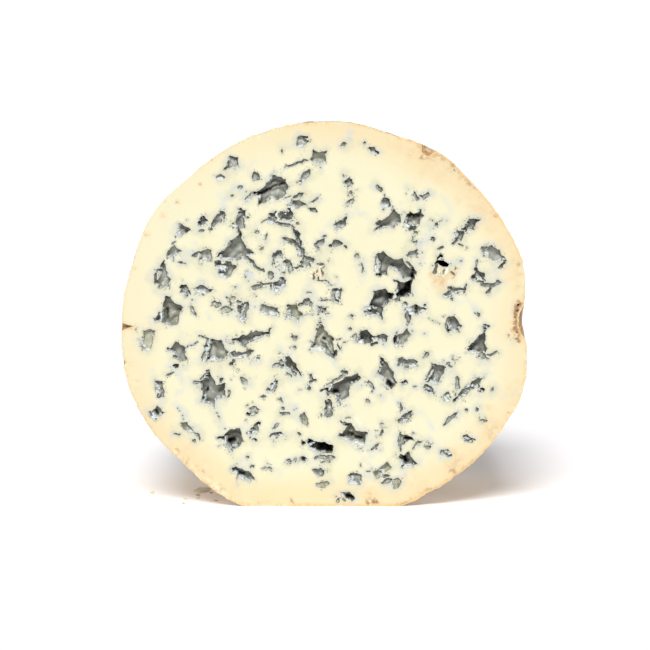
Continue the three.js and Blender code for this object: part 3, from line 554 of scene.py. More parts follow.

# %% [markdown]
# Some pockets stand out by a bright ledge, by a dark cleft, or by their shade. Those are listed
# too. A light of 0 is nearly black, and an olive of 1 is wholly olive.

# %% Ledges and clefts, each a width and then its points, and shades
LEDGES = [
    (1, -46.8, 90, -46.5, 88), (1, -29, 93, -28.8, 91), (1, -38, 91, -37.3, 92),
    (0.6, -14, 92.2, -11, 92), (1.2, -9, 116, -6, 115.8), (1, -52.3, 63.5, -52.2, 60.5),
    (0.7, -59, 56, -59, 52.5, -57.5, 51.5), (0.6, -49.8, 51, -47, 48.3),
    (0.9, -36.8, 54, -37.6, 50.5, -38.5, 47), (0.5, -25, 65.5, -26.7, 62, -26.5, 60.2),
    (0.7, -48, 69, -46.5, 67.5, -44.5, 67.5), (2.2, -32.5, 77, -32.3, 77),
    (0.8, -13, 78.5, -13, 76.5), (0.6, -16.5, 71, -13, 70.7), (0.9, 4.3, 69.3, 4.3, 67.7),
    (0.7, -11, 63, -11, 61.3, -9.5, 60.8), (0.6, -1, 54, 1, 52.8, 3, 49.5),
    (0.6, 11, 56.5, 11, 53.8), (0.5, 16.5, 54, 20, 53), (0.8, -12.8, 47, -12.5, 45, -11, 44),
    (0.7, 17.5, 79.5, 17.5, 76.5), (0.6, 15.5, 64.5, 17, 64), (1.8, 27.5, 64, 27.6, 64),
    (1.4, 40.7, 58, 40.8, 58), (0.5, 23.6, 55.5, 23.8, 53.5), (0.5, 27.2, 91.5, 28.5, 90.8),
    (0.7, -54.5, 39.8, -53.3, 38, -53, 36.5), (1, -55.3, 30.5, -54.7, 29),
    (0.7, -38.3, 36, -38.5, 34, -37, 33, -36, 32.5), (1, -31.8, 22.5, -31.8, 21),
    (0.6, -31.5, 20.3, -30.2, 18.8, -30, 17.2), (0.7, -24.5, 24, -24, 22.9, -22.8, 22.8),
    (0.5, -29.8, 10.3, -28.8, 10), (0.8, -17, 38, -15.8, 40.3), (1.2, 1.7, 38.2, 2.3, 39),
    (0.8, 3.6, 36.2, 4.6, 36), (1, -8, 29, -7.9, 27.5, -7, 26.3), (1.3, -5.6, 21.3, -5.6, 20),
    (0.8, -5, 19.4, -2.7, 17.6, -1.8, 16.8), (0.6, 7.3, 26, 6.5, 25), (0.5, 13.7, 23.5, 13.5, 21),
    (0.9, 5.8, 3.8, 5.7, 2.6), (0.8, 9, 8.3, 9.2, 9.4), (0.6, 18, 11.8, 19, 11.5),
    (1, 25.7, 14.5, 25.8, 14.5), (0.8, 45.5, 22.3, 46.5, 21.8), (1.3, 40.5, 17.4, 40.6, 17.4),
    (1, 46.3, 39, 47, 39.5), (0.8, 48, 39.2, 48.1, 39.2), (1, 40, 35.7, 40, 35.8),
    (0.6, 33, 38.6, 33.8, 38), (1.4, 13.6, 63.9, 14.8, 64.3), (1, -5.8, 19.6, -3.4, 20.6),
]
CLEFTS = [
    (0.5, -50.5, 64, -50.6, 60.5), (0.8, -28, 64.5, -28, 61), (1.2, -47, 71.5, -45.5, 72),
    (0.8, 0, 54.2, 0.1, 54.2), (1.4, 21.5, 68, 21.4, 68), (2, 27.5, 72, 26.8, 70, 25, 68.8),
    (0.8, 28.8, 77, 28.6, 74), (0.8, 29.8, 65, 29.8, 63), (1.2, 21, 68.8, 23.5, 68.5),
    (1, 37, 79, 38.8, 78.8), (0.6, 22.6, 56, 22.8, 53), (0.6, -21, 101, -17, 103, -13, 104.5),
    (0.8, 27, 94.3, 30.5, 94.2), (0.6, -54.2, 31, -53.8, 29.8), (0.6, -37.7, 38, -38, 37),
    (1.6, -30.5, 21, -29.3, 21.2), (0.9, -24.5, 30.3, -24.4, 30.3), (0.8, -27.5, 10.8, -26, 10.5),
    (1.2, 3.5, 37, 4.3, 37.2), (1.4, 8, 23.3, 9, 23), (1, 10.5, 22.3, 12, 22),
    (1.2, 7.8, 3.2, 9, 2.8), (1, 26.5, 22, 28, 21.8), (1.2, 26, 15.7, 26.8, 14.3),
    (1.4, 21, 39.8, 21.8, 39), (2.6, -0.9, 19.5, 1.5, 19),
]
SHADES = [  # x, z, light, olive
    (38, 78.5, 0, 0), (0, 19.5, 0.35, 0.5), (13, 55, 0.2, 0), (26, 76, 0.3, 0),
    (25.5, 71, 0.12, 0), (17.5, 66, 0.3, 0), (-57, 54, 0.55, 0.8), (-45, 70, 0.4, 0.5),
    (-9.5, 62.5, 0.5, 0.7), (-6, 28, 0.65, 0.9), (9, 22, 0.4, 0.8), (-44, 25, 0.5, 0.6),
    (-22.5, 24.5, 0.55, 0.6), (1.3, 31.5, 0.25, 0.5), (50.5, 53.5, 0.28, 0), (-37, 37, 0.4, 0),
    (5, 38, 0.3, 0), (-29, 84, 0.42, 0), (19, 79, 0.55, 0.2), (9.7, 8.9, 0.35, 0.1),
    (-26, 9.5, 0.3, 0), (8.5, 21.8, 0.4, 0.6), (25.5, 28, 0.35, 0.1), (-16.6, 92.5, 0.35, 0.1),
    (25.6, 40, 0.35, 0.2), (19, 9.3, 0.35, 0.2), (27, 62.4, 0.4, 0), (-26, 62, 0.4, 0.1),
    (-7.8, 83, 0.42, 0.2), (15.3, 39.3, 0.5, 0.1), (19.3, 98, 0.32, 0), (36, 77.5, 0.35, 0.8),
    (-8, 100.6, 0.5, 0.1), (0.5, 16, 0.5, 0.7), (27.2, 29.3, 0.35, 0.1),
]

# %% [markdown]
# ### From rows to outlines
# Every outline is taken in fine steps and shaken by noise, so that it is as ragged as the edge
# of a real pocket. If a shaken outline would cross itself, it is shaken less.

# %% Outline helpers
SWELL = 0.13  # how far an outline is pushed outwards before it is shaken
OUTLINE_STEP = 0.42
COARSE_SHAKE = 2.0
FINE_SHAKE = 0.8


def closed(points):
    """The sides of a closed outline, each as a pair of points."""
    return zip(points, points[1:] + points[:1])


def lookup(points):
    """A tree that finds the nearest of many points."""
    tree = KDTree(len(points))
    for number, point in enumerate(points):
        tree.insert(point, number)
    tree.balance()
    return tree


def flat(point):
    return Vector((point.x, point.y, 0))


def with_middles(outline):
    """The points of a closed outline and the middles of its sides, for a distance lookup."""
    return [flat(p) for a, b in closed(outline) for p in (a, (a + b) / 2)]


def area_of(outline):
    """The area inside a closed outline, negative if it runs clockwise."""
    return 0.5 * sum(a.x * b.y - b.x * a.y for a, b in closed(outline))


def crosses_itself(outline):
    sides = list(closed(outline))
    for number, (a, b) in enumerate(sides):
        for c, d in sides[number + 2:]:
            if d != a and intersect_line_line_2d(a, b, c, d):
                return True
    return False


def wobble(place):
    """A small shift made of two noises. (noise_vector would give other values in each run.)"""
    sideways = noise.noise(place + Vector((9.3, 0, 0)))
    upwards = noise.noise(place + Vector((0, 5.7, 0)))
    return Vector((sideways, upwards))


def shaken(point, amount):
    place = Vector((point.x, 0, point.y))
    coarse = wobble(place / COARSE_SHAKE)
    fine = wobble(place / FINE_SHAKE + Vector((7, 3, 5)))
    return point + (coarse + 0.8 * fine) * amount


def ragged(corners, amount):
    """A closed outline through the corners, in fine steps and shaken."""
    steps = []
    for a, b in closed(corners):
        count = max(1, round((b - a).length / OUTLINE_STEP))
        steps += [a.lerp(b, i / count) for i in range(count)]
    outwards = SWELL if area_of(corners) > 0 else -SWELL
    swollen = []
    for before, point, after in zip(steps[-1:] + steps[:-1], steps, steps[1:] + steps[:1]):
        ahead = (after - before).normalized()
        swollen.append(point + Vector((ahead.y, -ahead.x)) * outwards)
    for _ in range(6):
        outline = [shaken(point, amount) for point in swollen]
        if not crosses_itself(outline):
            return outline
        amount *= 0.6
    return steps


# %% [markdown]
# ### Pocket makers
# A pocket from the solid keeps its corners. A small pocket is a rough ring of corners, a crack
# is a line that is given a width, and a speck is a ring of six corners. How light and how olive
# the mould in each is comes from seeded dice, except where a shade is listed for its place.

# %% Pocket makers
Pocket = namedtuple("Pocket", "outline depth light olive spine")
DEPTH_SHARE = {"plain": 0.9, "dark": 1.8, "olive": 0.6}  # depth over width
LEAST_POCKET_DEPTH = 0.35
CRACK_DEPTH = 1.2  # over width
CRACK_SHARES = (1.0, 0.75, 0.55, 0.35)
SPECK_DEPTH = 0.7  # over size
SPECK_CORNERS = 6
SHADE_REACH = 2.4
BROWN = 2.0  # the olive value that stands for brown instead
NEAR_THE_RIM = 3
RIM_MARGIN = 0.25
dice = random.Random(11)


def well_inside(points):
    """Whether all the points lie inside the rim of the cut, a little away from it."""
    for point in points:
        _, number, away = outline_tree.find(flat(point))
        if away < NEAR_THE_RIM:
            behind = face_outline[number // 2 - 3]
            ahead = face_outline[(number // 2 + 3) % len(face_outline)]
            if away < RIM_MARGIN or (ahead - behind).cross(point - behind) < 0:
                return False
    return True


def keep_pocket(outline, depth, light, olive, spine):
    """Add a pocket, its outline anticlockwise, unless it comes too near the rim of the cut."""
    if area_of(outline) < 0:
        outline = outline[::-1]
    middle = sum(outline, Vector((0, 0))) / len(outline)
    for x, z, special_light, special_olive in SHADES:
        if (middle - Vector((x, z))).length < SHADE_REACH and olive < BROWN:
            light, olive = special_light, special_olive
    if well_inside(outline):
        pockets.append(Pocket(outline, depth, light, olive, list(spine)))


def add_pocket(corners, depth, light, olive, spine=(), amount=0.5):
    keep_pocket(ragged(corners, amount), depth, light, olive, spine)


def add_small_pocket(row, kind, light, olive):
    x, z, length, width, tilt = row
    corners = 7 + round(length)
    middle = Vector((x, z))
    points = []
    for corner in range(corners):
        angle = math.tau * (corner + dice.uniform(-0.25, 0.25)) / corners
        reach = dice.uniform(0.35, 0.62)
        offset = Vector((length * reach * math.cos(angle), width * reach * math.sin(angle)))
        points.append(middle + Matrix.Rotation(math.radians(tilt), 2) @ offset)
    depth = max(LEAST_POCKET_DEPTH, DEPTH_SHARE[kind] * width)
    add_pocket(points, depth, light, olive, [middle], min(0.4, 0.3 * width))


def points_of(row):
    """The points of a row that is a width and then pairs of x and z."""
    return [Vector(pair) for pair in zip(row[1::2], row[2::2])]


def evenly(points, step):
    """Points along a line, a step apart, with both its ends."""
    line = [points[0]]
    for a, b in zip(points, points[1:]):
        count = max(1, round((b - a).length / step))
        line += [a.lerp(b, i / count) for i in range(1, count + 1)]
    return line


def crack_outline(line, width):
    """The line is given a width that comes and goes, and that narrows at both ends."""
    left, right = [], []
    for number, point in enumerate(line):
        ahead = line[min(number + 1, len(line) - 1)] - line[max(number - 1, 0)]
        side = Vector((-ahead.y, ahead.x)).normalized()
        end = min(number, len(line) - 1 - number)
        narrow = min(1.0, (0.4 if width < 0.8 else 0.7) + 0.4 * end)
        half = 0.5 * width * dice.uniform(0.6, 1.35) * narrow
        left.append(point + side * half)
        right.append(point - side * half)
    return right + left[::-1]


def add_crack(row, light, olive):
    """A crack along the points of a row. Where it would cross itself, it is made narrower."""
    line = [shaken(p, 0.35) for p in evenly(points_of(row), 0.5)]
    depth = CRACK_DEPTH * row[0]
    for share in CRACK_SHARES:
        outline = crack_outline(line, share * row[0])
        if not crosses_itself(outline):
            add_pocket(outline, depth, light, olive, line[1:-1] or line, amount=0.12)
            return
    print("crack left out", row)


def add_dot(middle, size, light, olive):
    turn = dice.uniform(0, math.tau)
    corners = []
    for corner in range(SPECK_CORNERS):
        angle = turn + math.tau * corner / SPECK_CORNERS
        reach = size * dice.uniform(0.35, 0.65)
        corners.append(middle + Vector((math.cos(angle), math.sin(angle))) * reach)
    keep_pocket(corners, SPECK_DEPTH * size, light, olive, [middle])


# %% Draw the large pockets
face_outline = [Vector((v.co.x, v.co.z)) / MM for v in rim_loop]
if area_of(face_outline) < 0:
    rim_loop.reverse()
    face_outline.reverse()
outline_tree = lookup(with_middles(face_outline))
pockets = []
for corners, depth in solid_pockets:
    light = dice.uniform(0.34, 0.68)
    olive = min(1.0, max(0.0, dice.gauss(0.15, 0.3)))
    add_pocket(corners, depth, light, olive)
print("large pockets drawn", len(pockets))

# %% Draw the small pockets and cracks
for kind, rows, light_range, olive_range in (
    ("plain", PLAIN_POCKETS, (0.35, 0.8), (0.0, 0.35)),
    ("dark", DARK_POCKETS, (0.08, 0.22), (0.0, 0.2)),
    ("olive", OLIVE_POCKETS, (0.5, 0.8), (0.6, 1.0)),
):
    for row in rows:
        add_small_pocket(row, kind, dice.uniform(*light_range), dice.uniform(*olive_range))
for rows, light_range, olive_range in (
    (CRACKS, (0.05, 0.5), (0.0, 0.3)),
    (PATCHES, (0.2, 0.75), (0.0, 0.4)),
    (OLIVE_CRACKS, (0.3, 0.7), (0.7, 1.0)),
    (BROWN_CRACKS, (0.3, 0.6), (BROWN, BROWN)),
):
    for row in rows:
        add_crack(row, dice.uniform(*light_range), dice.uniform(*olive_range))
for row in DOTTED_CRACKS:
    greenness = dice.uniform(0.0, 0.8)
    for point in evenly(points_of(row), 0.85):
        add_dot(shaken(point, 0.5), row[0] * dice.uniform(0.6, 1.4), 0.3, greenness)
print("pockets and cracks drawn", len(pockets))

# %% [markdown]
# Mould also grows as loose specks beside the rims, but not out under the rind.

# %% Scatter specks
SPECKS = 360
MOULDY_RADIUS = 58
grown_from = [p for pocket in pockets for p in pocket.outline]
for _ in range(SPECKS):
    start = dice.choice(grown_from)
    away = Vector((dice.gauss(0, 0.8), dice.gauss(0, 0.8)))
    size = min(0.8, 0.3 + dice.expovariate(7))
    if math.hypot(start.x + away.x, start.y + away.y - AXIS_Z / MM) < MOULDY_RADIUS:
        add_dot(start + away, size, dice.uniform(0.1, 0.6), dice.uniform(0.0, 0.7))
pockets.sort(key=lambda pocket: -area_of(pocket.outline))
print("with specks", len(pockets))

# %% [markdown]
# ## One sheet for the cut
# The cut face and all its pockets are made as one sheet of triangles. A constrained Delaunay
# triangulation takes the outlines and a cloud of points, and joins them so that each outline
# stays an edge. The points lie close together in the pockets and beside them, and wide apart on
# the plain paste. Each point is then pushed in as deep as the pocket goes at that place. Pockets
# that overlap simply become one, and the sheet has no holes to mend.

# %% Grid helpers
ROW_HEIGHT = 0.866  # of a grid of even triangles, over its spacing


def cells_inside(outline, spacing):
    """The places (row, column) of a triangular grid that lie inside a closed outline."""
    height = ROW_HEIGHT * spacing
    cells = set()
    first = math.ceil(min(p.y for p in outline) / height)
    last = math.floor(max(p.y for p in outline) / height)
    for row in range(first, last + 1):
        level = row * height
        crossings = sorted(
            a.x + (level - a.y) * (b.x - a.x) / (b.y - a.y)
            for a, b in closed(outline)
            if (a.y > level) != (b.y > level)
        )
        shift = 0.5 * spacing * (row % 2)
        for start, end in zip(crossings[::2], crossings[1::2]):
            first_column = math.ceil((start - shift) / spacing)
            last_column = math.floor((end - shift) / spacing)
            cells.update((row, column) for column in range(first_column, last_column + 1))
    return cells


def cell_place(cell, spacing):
    """Where a grid place is, shaken a little so that no rows are seen."""
    row, column = cell
    across = column * spacing + 0.5 * spacing * (row % 2)
    place = Vector((across, row * ROW_HEIGHT * spacing))
    return place + wobble(Vector((row * 1.7, column * 2.3, 0.5))) * 0.35 * spacing


# %% Points for the sheet
POCKET_CELL = 0.4
NEAR_CELL = 0.55
FAR_CELL = 1.35
NEAR_REACH = 1.2
ANY_DISTANCE = 999

drawn_tree = lookup([p for pocket in pockets for p in with_middles(pocket.outline)])
cloud = []
pocket_cells = set()
for pocket in pockets:
    pocket_cells |= cells_inside(pocket.outline, POCKET_CELL)
    cloud += [p for p in pocket.spine if drawn_tree.find(flat(p))[2] > 0.08]
for cell in sorted(pocket_cells):
    place = cell_place(cell, POCKET_CELL)
    if drawn_tree.find(flat(place))[2] > 0.15:
        cloud.append(place)
in_pockets = len(cloud)
for spacing, nearest, farthest in (
    (NEAR_CELL, 0.25, NEAR_REACH),
    (FAR_CELL, NEAR_REACH + 0.4, ANY_DISTANCE),
):
    taken = set()
    for pocket in pockets:
        taken |= cells_inside(pocket.outline, spacing)
    for cell in sorted(cells_inside(face_outline, spacing) - taken):
        place = cell_place(cell, spacing)
        away = drawn_tree.find(flat(place))[2]
        if nearest < away < farthest and outline_tree.find(flat(place))[2] > 0.6 * spacing:
            cloud.append(place)
print("points in pockets", in_pockets, "on the paste", len(cloud) - in_pockets)

# %% Triangulate
OUTSIDE, PLAIN = -2, -1
TOLERANCE = 0.0001

corners = list(face_outline)
loops = [list(range(len(corners)))]
for pocket in pockets:
    loops.append(list(range(len(corners), len(corners) + len(pocket.outline))))
    corners += pocket.outline
corners += cloud
flat_points, _, triangles, point_sources, _, loop_sources = delaunay_2d_cdt(
    corners, [], loops, 0, TOLERANCE)

owners = []  # for each triangle, the number of its pocket
for sources in loop_sources:
    if 0 not in sources:
        owners.append(OUTSIDE)
    else:
        owners.append(min((s - 1 for s in sources if s > 0), default=PLAIN))
print("triangles", len(triangles), "outside", owners.count(OUTSIDE), "plain", owners.count(PLAIN))

# %% [markdown]
# ## How deep the cut is at each place
# A wire leaves the paste nearly flat: shallow waves, faint drag lines, a worn edge, and a few
# places where the paste tore. Along the lower left rim it pushed up a thin curl. Such marks are
# drawn as strokes, lines with a width, and a stroke says how far inside it a place lies.

# %% Torn places, as (x, z, radius), then the curl and the ridges, as a width and points
TORN_PLACES = [(-2, 76, 3.4), (38.5, 74.5, 4.6), (36.5, 8, 2.5)]
BURR = (0.8, -50.2, 19.6, -46.3, 16.2, -41, 11.7, -36.4, 7.7, -29.3, 2.0)
CURLS = [
    (0.9, -1.3, 77.7, -1.1, 73.3), (0.6, -4, 75.6, -3.8, 73), (0.5, -2.8, 76.1, -1.9, 74.4),
    (0.5, 0.2, 75.7, -0.1, 73.7), (0.35, 37.2, 76.8, 37, 73.5), (0.3, 38.9, 76.6, 38.4, 73.8),
    (0.35, 36, 72.5, 38.5, 74.6, 40.3, 76.4), (0.35, 37, 70.4, 40, 73.2, 43, 75.8),
    (0.4, -61.1, 42.2, -60.9, 40), (0.4, 43.1, 76.4, 43, 77.5),
    (0.6, -41, 13.9, -40.5, 14.6, -39.9, 15.1), (0.5, -40.6, 13.2, -39.9, 13.8),
    (0.5, -38.9, 12.3, -38.3, 12.8), (0.5, -37.3, 11.9, -36.7, 12.3), (0.9, 11, 27.6, 11.9, 27.2),
    (0.6, -34.4, 6, -33.9, 5.8), (0.7, -28.6, 0.4, -27.9, 1.4),
]

# %% Strokes


class Strokes:
    """Lines with a width, and how far inside one of them a place lies."""

    def __init__(self, rows):
        self.halves = []
        points = []
        for row in rows:
            for point in evenly(points_of(row), 0.2):
                points.append(flat(point))
                self.halves.append(0.5 * row[0])
        self.tree = lookup(points)

    def cover(self, place, blur=0.15):
        """1 inside a line, 0 outside, with a short fade at its ragged edge."""
        _, number, away = self.tree.find(flat(place))
        stir = 0.4 * noise.noise(flat(place) / 0.7)
        return ramp(away + stir, self.halves[number] + blur, self.halves[number] - blur)


ledge_strokes = Strokes(LEDGES)
cleft_strokes = Strokes(CLEFTS)
smear_strokes = Strokes(BLUE_SMEARS)
burr_stroke = Strokes([BURR])
curl_strokes = Strokes(CURLS)

# %% Relief of the paste, in millimetres
WAVE_DEPTH = 0.10
DRAG_LINE_DEPTH = 0.035
WORN_DEPTH = 0.25
TEAR_HEIGHT = 0.55
BURR_HEIGHT = 0.5
CURL_HEIGHT = 0.45


def face_relief(place):
    """How deep the paste lies below the cut plane at a place, in millimetres."""
    here = Vector((place.x, 0, place.y))
    relief = WAVE_DEPTH * noise.fractal(here / 16, 1.0, 2.0, 3)
    relief += DRAG_LINE_DEPTH * noise.noise(Vector((place.x / 9, 0, place.y / 1.6)))
    relief += WORN_DEPTH * ramp(outline_tree.find(flat(place))[2], 1.2, 0)
    for x, z, size in TORN_PLACES:
        away = math.hypot(place.x - x, place.y - z)
        if away < size:
            fibres = noise.noise(Vector((place.x / 0.55, 3, place.y / 3.5)))
            relief -= TEAR_HEIGHT * (fibres + 0.1) * ramp(away, size, 0.5 * size)
    relief -= BURR_HEIGHT * burr_stroke.cover(place, 0.4)
    relief -= CURL_HEIGHT * curl_strokes.cover(place, 0.2)
    return relief


# %% [markdown]
# In a pocket the wall drops steeply from the rim to a creased floor. Along its lower left side
# a pocket often has a ledge, where a curd grain was cut that still sits in its hollow.

# %% Floor of a pocket, in millimetres
UPWARDS_RIGHT = Vector((0.62, 0.78))
WALL = 0.42  # how far in from its rim a pocket reaches its full depth
CREASE = 3.4
DEEP = 1.2  # a pocket less deep than this has no ledge of its own
LEDGE_DEPTH = 0.5
CLEFT_DEPTH = 1.2
LEAST_DEPTH = 0.12


def pocket_floor(pocket, place, from_rim, side):
    """How far in a pocket goes at a place, in mm, and how much of it there is a ledge or cleft."""
    here = Vector((place.x, 0, place.y))
    crease = abs(noise.noise(here / CREASE))
    rough = noise.noise(here / 0.9)
    depth = pocket.depth * (1.05 - 0.7 * crease) + 0.12 * rough * min(1.0, pocket.depth)
    ledge = 0.0
    if pocket.depth > DEEP:
        width = 0.15 + 1.2 * max(0.0, noise.noise(here / 3.1 + Vector((9, 9, 9))) + 0.2)
        ledge = ramp(from_rim + 0.2 * rough, width + 0.15, width - 0.15) * ramp(side, 0.1, -0.5)
    ledge = max(ledge, ledge_strokes.cover(place))
    cleft = cleft_strokes.cover(place, 0.4)
    ledge *= 1 - cleft
    on_ledge = LEDGE_DEPTH + 0.3 * rough
    depth = depth * (1 - ledge) + min(depth, on_ledge) * ledge + CLEFT_DEPTH * cleft
    return max(LEAST_DEPTH, depth) * ramp(from_rim, 0, WALL), ledge, cleft


# %% [markdown]
# ## Stains
# The rind has stained the paste along parts of the rim, and a few chips and tears are brown.
# There are round stains, stained strokes, and stretches of the rim that are brown a little way
# in. At each place the strongest one counts.

# %% Stains
# Each is x, z, radius and strength.
STAINS = [
    (36, 110, 8, 0.4), (32.8, 114.5, 2.5, 0.9), (31, 112.6, 1.6, 0.8), (34.4, 112.2, 1.5, 0.7),
    (38, 112.5, 2.6, 0.5), (41, 110, 2.6, 0.55), (43.5, 107, 2.6, 0.5), (46, 104, 2.6, 0.45),
    (50, 100, 3, 0.4), (24, 117.5, 5, 0.3), (55.6, 93.8, 0.9, 1), (63, 78, 5, 0.5),
    (62.3, 72, 2.5, 0.5), (63.2, 65, 2.4, 1), (62.6, 62.6, 2.4, 1), (62.2, 60, 2.4, 1),
    (62.4, 57.4, 2.4, 1), (62.8, 55, 2, 1), (42, 11.2, 1.8, 1), (33, 5, 1.5, 0.8),
    (60, 30, 1.2, 0.8), (-39.6, 103.7, 1.1, 0.7), (-47, 98.4, 1.2, 0.65), (-51.5, 99, 1.4, 0.6),
    (-52.3, 94.5, 1.5, 0.6), (-57.5, 88, 1.5, 0.6), (-61.2, 77.3, 1.1, 0.65),
    (-57.5, 74.5, 1.2, 0.7), (-60.6, 41, 1.5, 0.55), (-36.2, 112, 0.9, 0.9), (-62, 57.8, 1.6, 0.8),
    (-62.4, 46.3, 1.4, 0.9), (-14, 0.7, 3, 0.35), (15.8, 0.6, 3.4, 1.1), (-21.5, 0.8, 1.6, 0.7),
    (-17.3, 1.1, 1.7, 0.65), (-10.4, 1.4, 1.4, 0.85), (-25.3, 0.5, 1.4, 0.8), (62, 76, 5, 0.45),
    (38, 73.5, 5, 0.55), (41.3, 75.5, 1.1, 0.8), (42.6, 77, 0.9, 0.8), (-2, 75.5, 3.4, 0.25),
    (24, 1.2, 4, 0.5), (6, 0.5, 5, 0.35), (52, 22, 4, 0.3), (60, 38, 4, 0.25), (-40, 12, 5, 0.35),
    (59.5, 55.6, 1, 0.8), (30, 115, 6, 0.5), (44, 105, 8, 0.5), (53, 95, 7, 0.45),
    (60, 86, 6, 0.3), (61, 36, 6, 0.3), (54, 25, 7, 0.5), (44, 14, 7, 0.5), (30, 5, 7, 0.5),
    (16, 2, 6, 0.45), (-30, 5, 5, 0.4), (-44, 16, 5, 0.35), (-20, 2, 5, 0.4),
]
# Each is a width and then the points of a brown edge.
STAIN_LINES = [
    (1.5, 31.3, 115.4, 31.8, 113.8, 33.2, 113),
    (1.8, 35.5, 114.7, 39.1, 112.7, 42.7, 109.8, 45.4, 106.7, 48, 102.9),
    (2.6, 62.3, 65.6, 62, 62, 61.8, 58, 62.6, 54.2), (0.8, 62.5, 79, 63.7, 76, 64.3, 72.5),
    (1.4, 39.4, 11, 42.2, 12), (1.6, 14, 0.9, 17.4, 0.9), (0.5, 22, 0.2, 26.5, 0.7),
    (0.4, -27.2, 0.5, -23.4, 0.5), (0.3, -21.5, 0.4, -9.5, 0.6), (0.8, 55.2, 94.2, 56.1, 93.2),
    (0.35, 37.5, 70.8, 39.3, 72.9, 40.8, 74.6), (0.35, 36.3, 71.8, 37.6, 74.2),
    (0.3, 35.6, 73, 35.8, 70), (0.7, -49.2, 20.2, -45.4, 16.6, -40.2, 12.2, -35.5, 8.3, -31, 4.6),
    (0.6, -51.2, 19.2, -46.8, 15, -41.5, 10.6, -37, 6.7, -30.2, 1.4),
]
# Each is a stretch of the rim, from and to in degrees from +X, how far in, and the strength.
RIM_STAINS = [
    (-65, -42, 1.8, 0.8), (-71, -65, 1.5, 1), (38, 62, 3, 0.62), (-128, -110, 1.3, 0.5),
    (-114.5, -111.5, 1, 1), (-3, 8, 2, 0.5),
]
stain_strokes = Strokes(STAIN_LINES)


def stain_at(place):
    """The strongest stain at a place on the cut face."""
    most = 0.85 * stain_strokes.cover(place, 0.7)
    angle = math.degrees(math.atan2(place.y - AXIS_Z / MM, place.x))
    from_rind = outline_tree.find(flat(place))[2] + 0.9 * noise.noise(flat(place) / 1.3)
    for start, end, reach, strength in RIM_STAINS:
        if start < angle < end:
            most = max(most, strength * ramp(from_rind, reach, 0.2 * reach))
    for x, z, radius, strength in STAINS:
        away = math.hypot(place.x - x, place.y - z) / radius
        if away < 1.5:
            blotch = Vector((place.x, 5, place.y)) / (0.4 + 0.4 * radius)
            stir = 0.8 * noise.fractal(blotch, 1, 2, 3)
            most = max(most, strength * ramp(away + stir, 1.1, 0.1))
    return most


# %% [markdown]
# ## The sheet as a mesh
# A point belongs to the largest pocket that any of its triangles lies in. A side between a
# triangle in a pocket and one on the paste is a true rim, and distances to the mould are
# measured from those.

# %% Owners and rims
PASTE, MOULD, RIND = 0, 1, 2
finishes = [bpy.data.materials.new(name) for name in ("paste", "mould", "rind")]

point_owner = [PLAIN] * len(flat_points)
on_paste = [False] * len(flat_points)
sides_of = {}
for triangle, owner in zip(triangles, owners):
    if owner == OUTSIDE:
        continue
    for number, following in zip(triangle, triangle[1:] + triangle[:1]):
        if owner == PLAIN:
            on_paste[number] = True
        elif point_owner[number] == PLAIN or owner < point_owner[number]:
            point_owner[number] = owner
        pair = (min(number, following), max(number, following))
        sides_of.setdefault(pair, set()).add(owner == PLAIN)
true_rims = [pair for pair, sides in sides_of.items() if len(sides) == 2]
rim_points = []
for start, end in true_rims:
    a, b = flat_points[start], flat_points[end]
    rim_points += [flat(a), flat((a + b) / 2)]
rim_tree = lookup(rim_points)
rim_length = sum((flat_points[a] - flat_points[b]).length for a, b in true_rims)
print("pocket rims", round(rim_length), "mm")

# %% [markdown]
# The colours depend on place: the paste is warmer towards the rind and colder round the mould,
# and each pocket has its own shade. So every vertex is given a few numbers, which the materials
# read as attributes:
#
# - `rim_mm` and `pocket_mm`: how far it is from the rind and from the nearest pocket rim;
# - `smear`, `stain`, `warm` and `torn_and_highlight`: blue under the paste, brown on it, the tint
#   under the rind, and the torn paste of the curls and the burr, lighter also as a painted
#   highlight;
# - `light`, `olive` and `busy`: how light, olive and flecked the mould of its pocket is;
# - `ledge`, `cleft` and `side`: where it is in its pocket. `side` is 1 below an upper right rim.

# %% Numbers at each point
ATTRIBUTES = ("rim_mm", "pocket_mm", "smear", "stain", "warm", "torn_and_highlight", "light", "olive", "busy",
              "ledge", "cleft", "side")
RIM_DIP = 0.03  # the rims of the pockets lie a little deeper than the paste, in millimetres
# Degrees from +X, and how much more or less the rind has tinted the paste on that side.
WARM_SIDES = ((60, 0.45), (150, -0.85), (0, -0.3), (250, 0.6), (310, 0.25))


def warmth(point):
    angle = math.atan2(point.y - AXIS_Z / MM, point.x)
    warm = 1.0
    for middle, change in WARM_SIDES:
        warm += change * max(0.0, math.cos(angle - math.radians(middle))) ** 2
    return warm


def sheet_point(number):
    """Where a point of the sheet goes, in metres, and its attributes."""
    point = flat_points[number]
    nearest, _, from_rim = rim_tree.find(flat(point))
    towards = Vector((nearest.x - point.x, nearest.y - point.y))
    side = towards.normalized().dot(UPWARDS_RIGHT) if from_rim > 0.01 else 0.0
    depth = face_relief(point)
    values = {
        "rim_mm": outline_tree.find(flat(point))[2],
        "pocket_mm": from_rim,
        "smear": smear_strokes.cover(point, 0.9),
        "stain": stain_at(point),
        "warm": warmth(point),
        "torn_and_highlight": max(curl_strokes.cover(point, 0.15), 0.7 * burr_stroke.cover(point, 0.3)),
        "side": side,
    }
    owner = point_owner[number]
    if owner != PLAIN:
        pocket = pockets[owner]
        area = area_of(pocket.outline)
        values["light"] = pocket.light
        values["olive"] = pocket.olive
        values["busy"] = ramp(area, 22, 7) * ramp(area, 0.2, 0.9)
        if on_paste[number]:
            depth += RIM_DIP
        else:
            inwards, ledge, cleft = pocket_floor(pocket, point, from_rim, side)
            depth += inwards
            values["ledge"] = ledge
            values["cleft"] = cleft
    source = point_sources[number]
    if source and source[0] < len(rim_loop):
        return rim_loop[source[0]].co, values
    return Vector((point.x * MM, CUT_Y + depth * MM, point.y * MM)), values


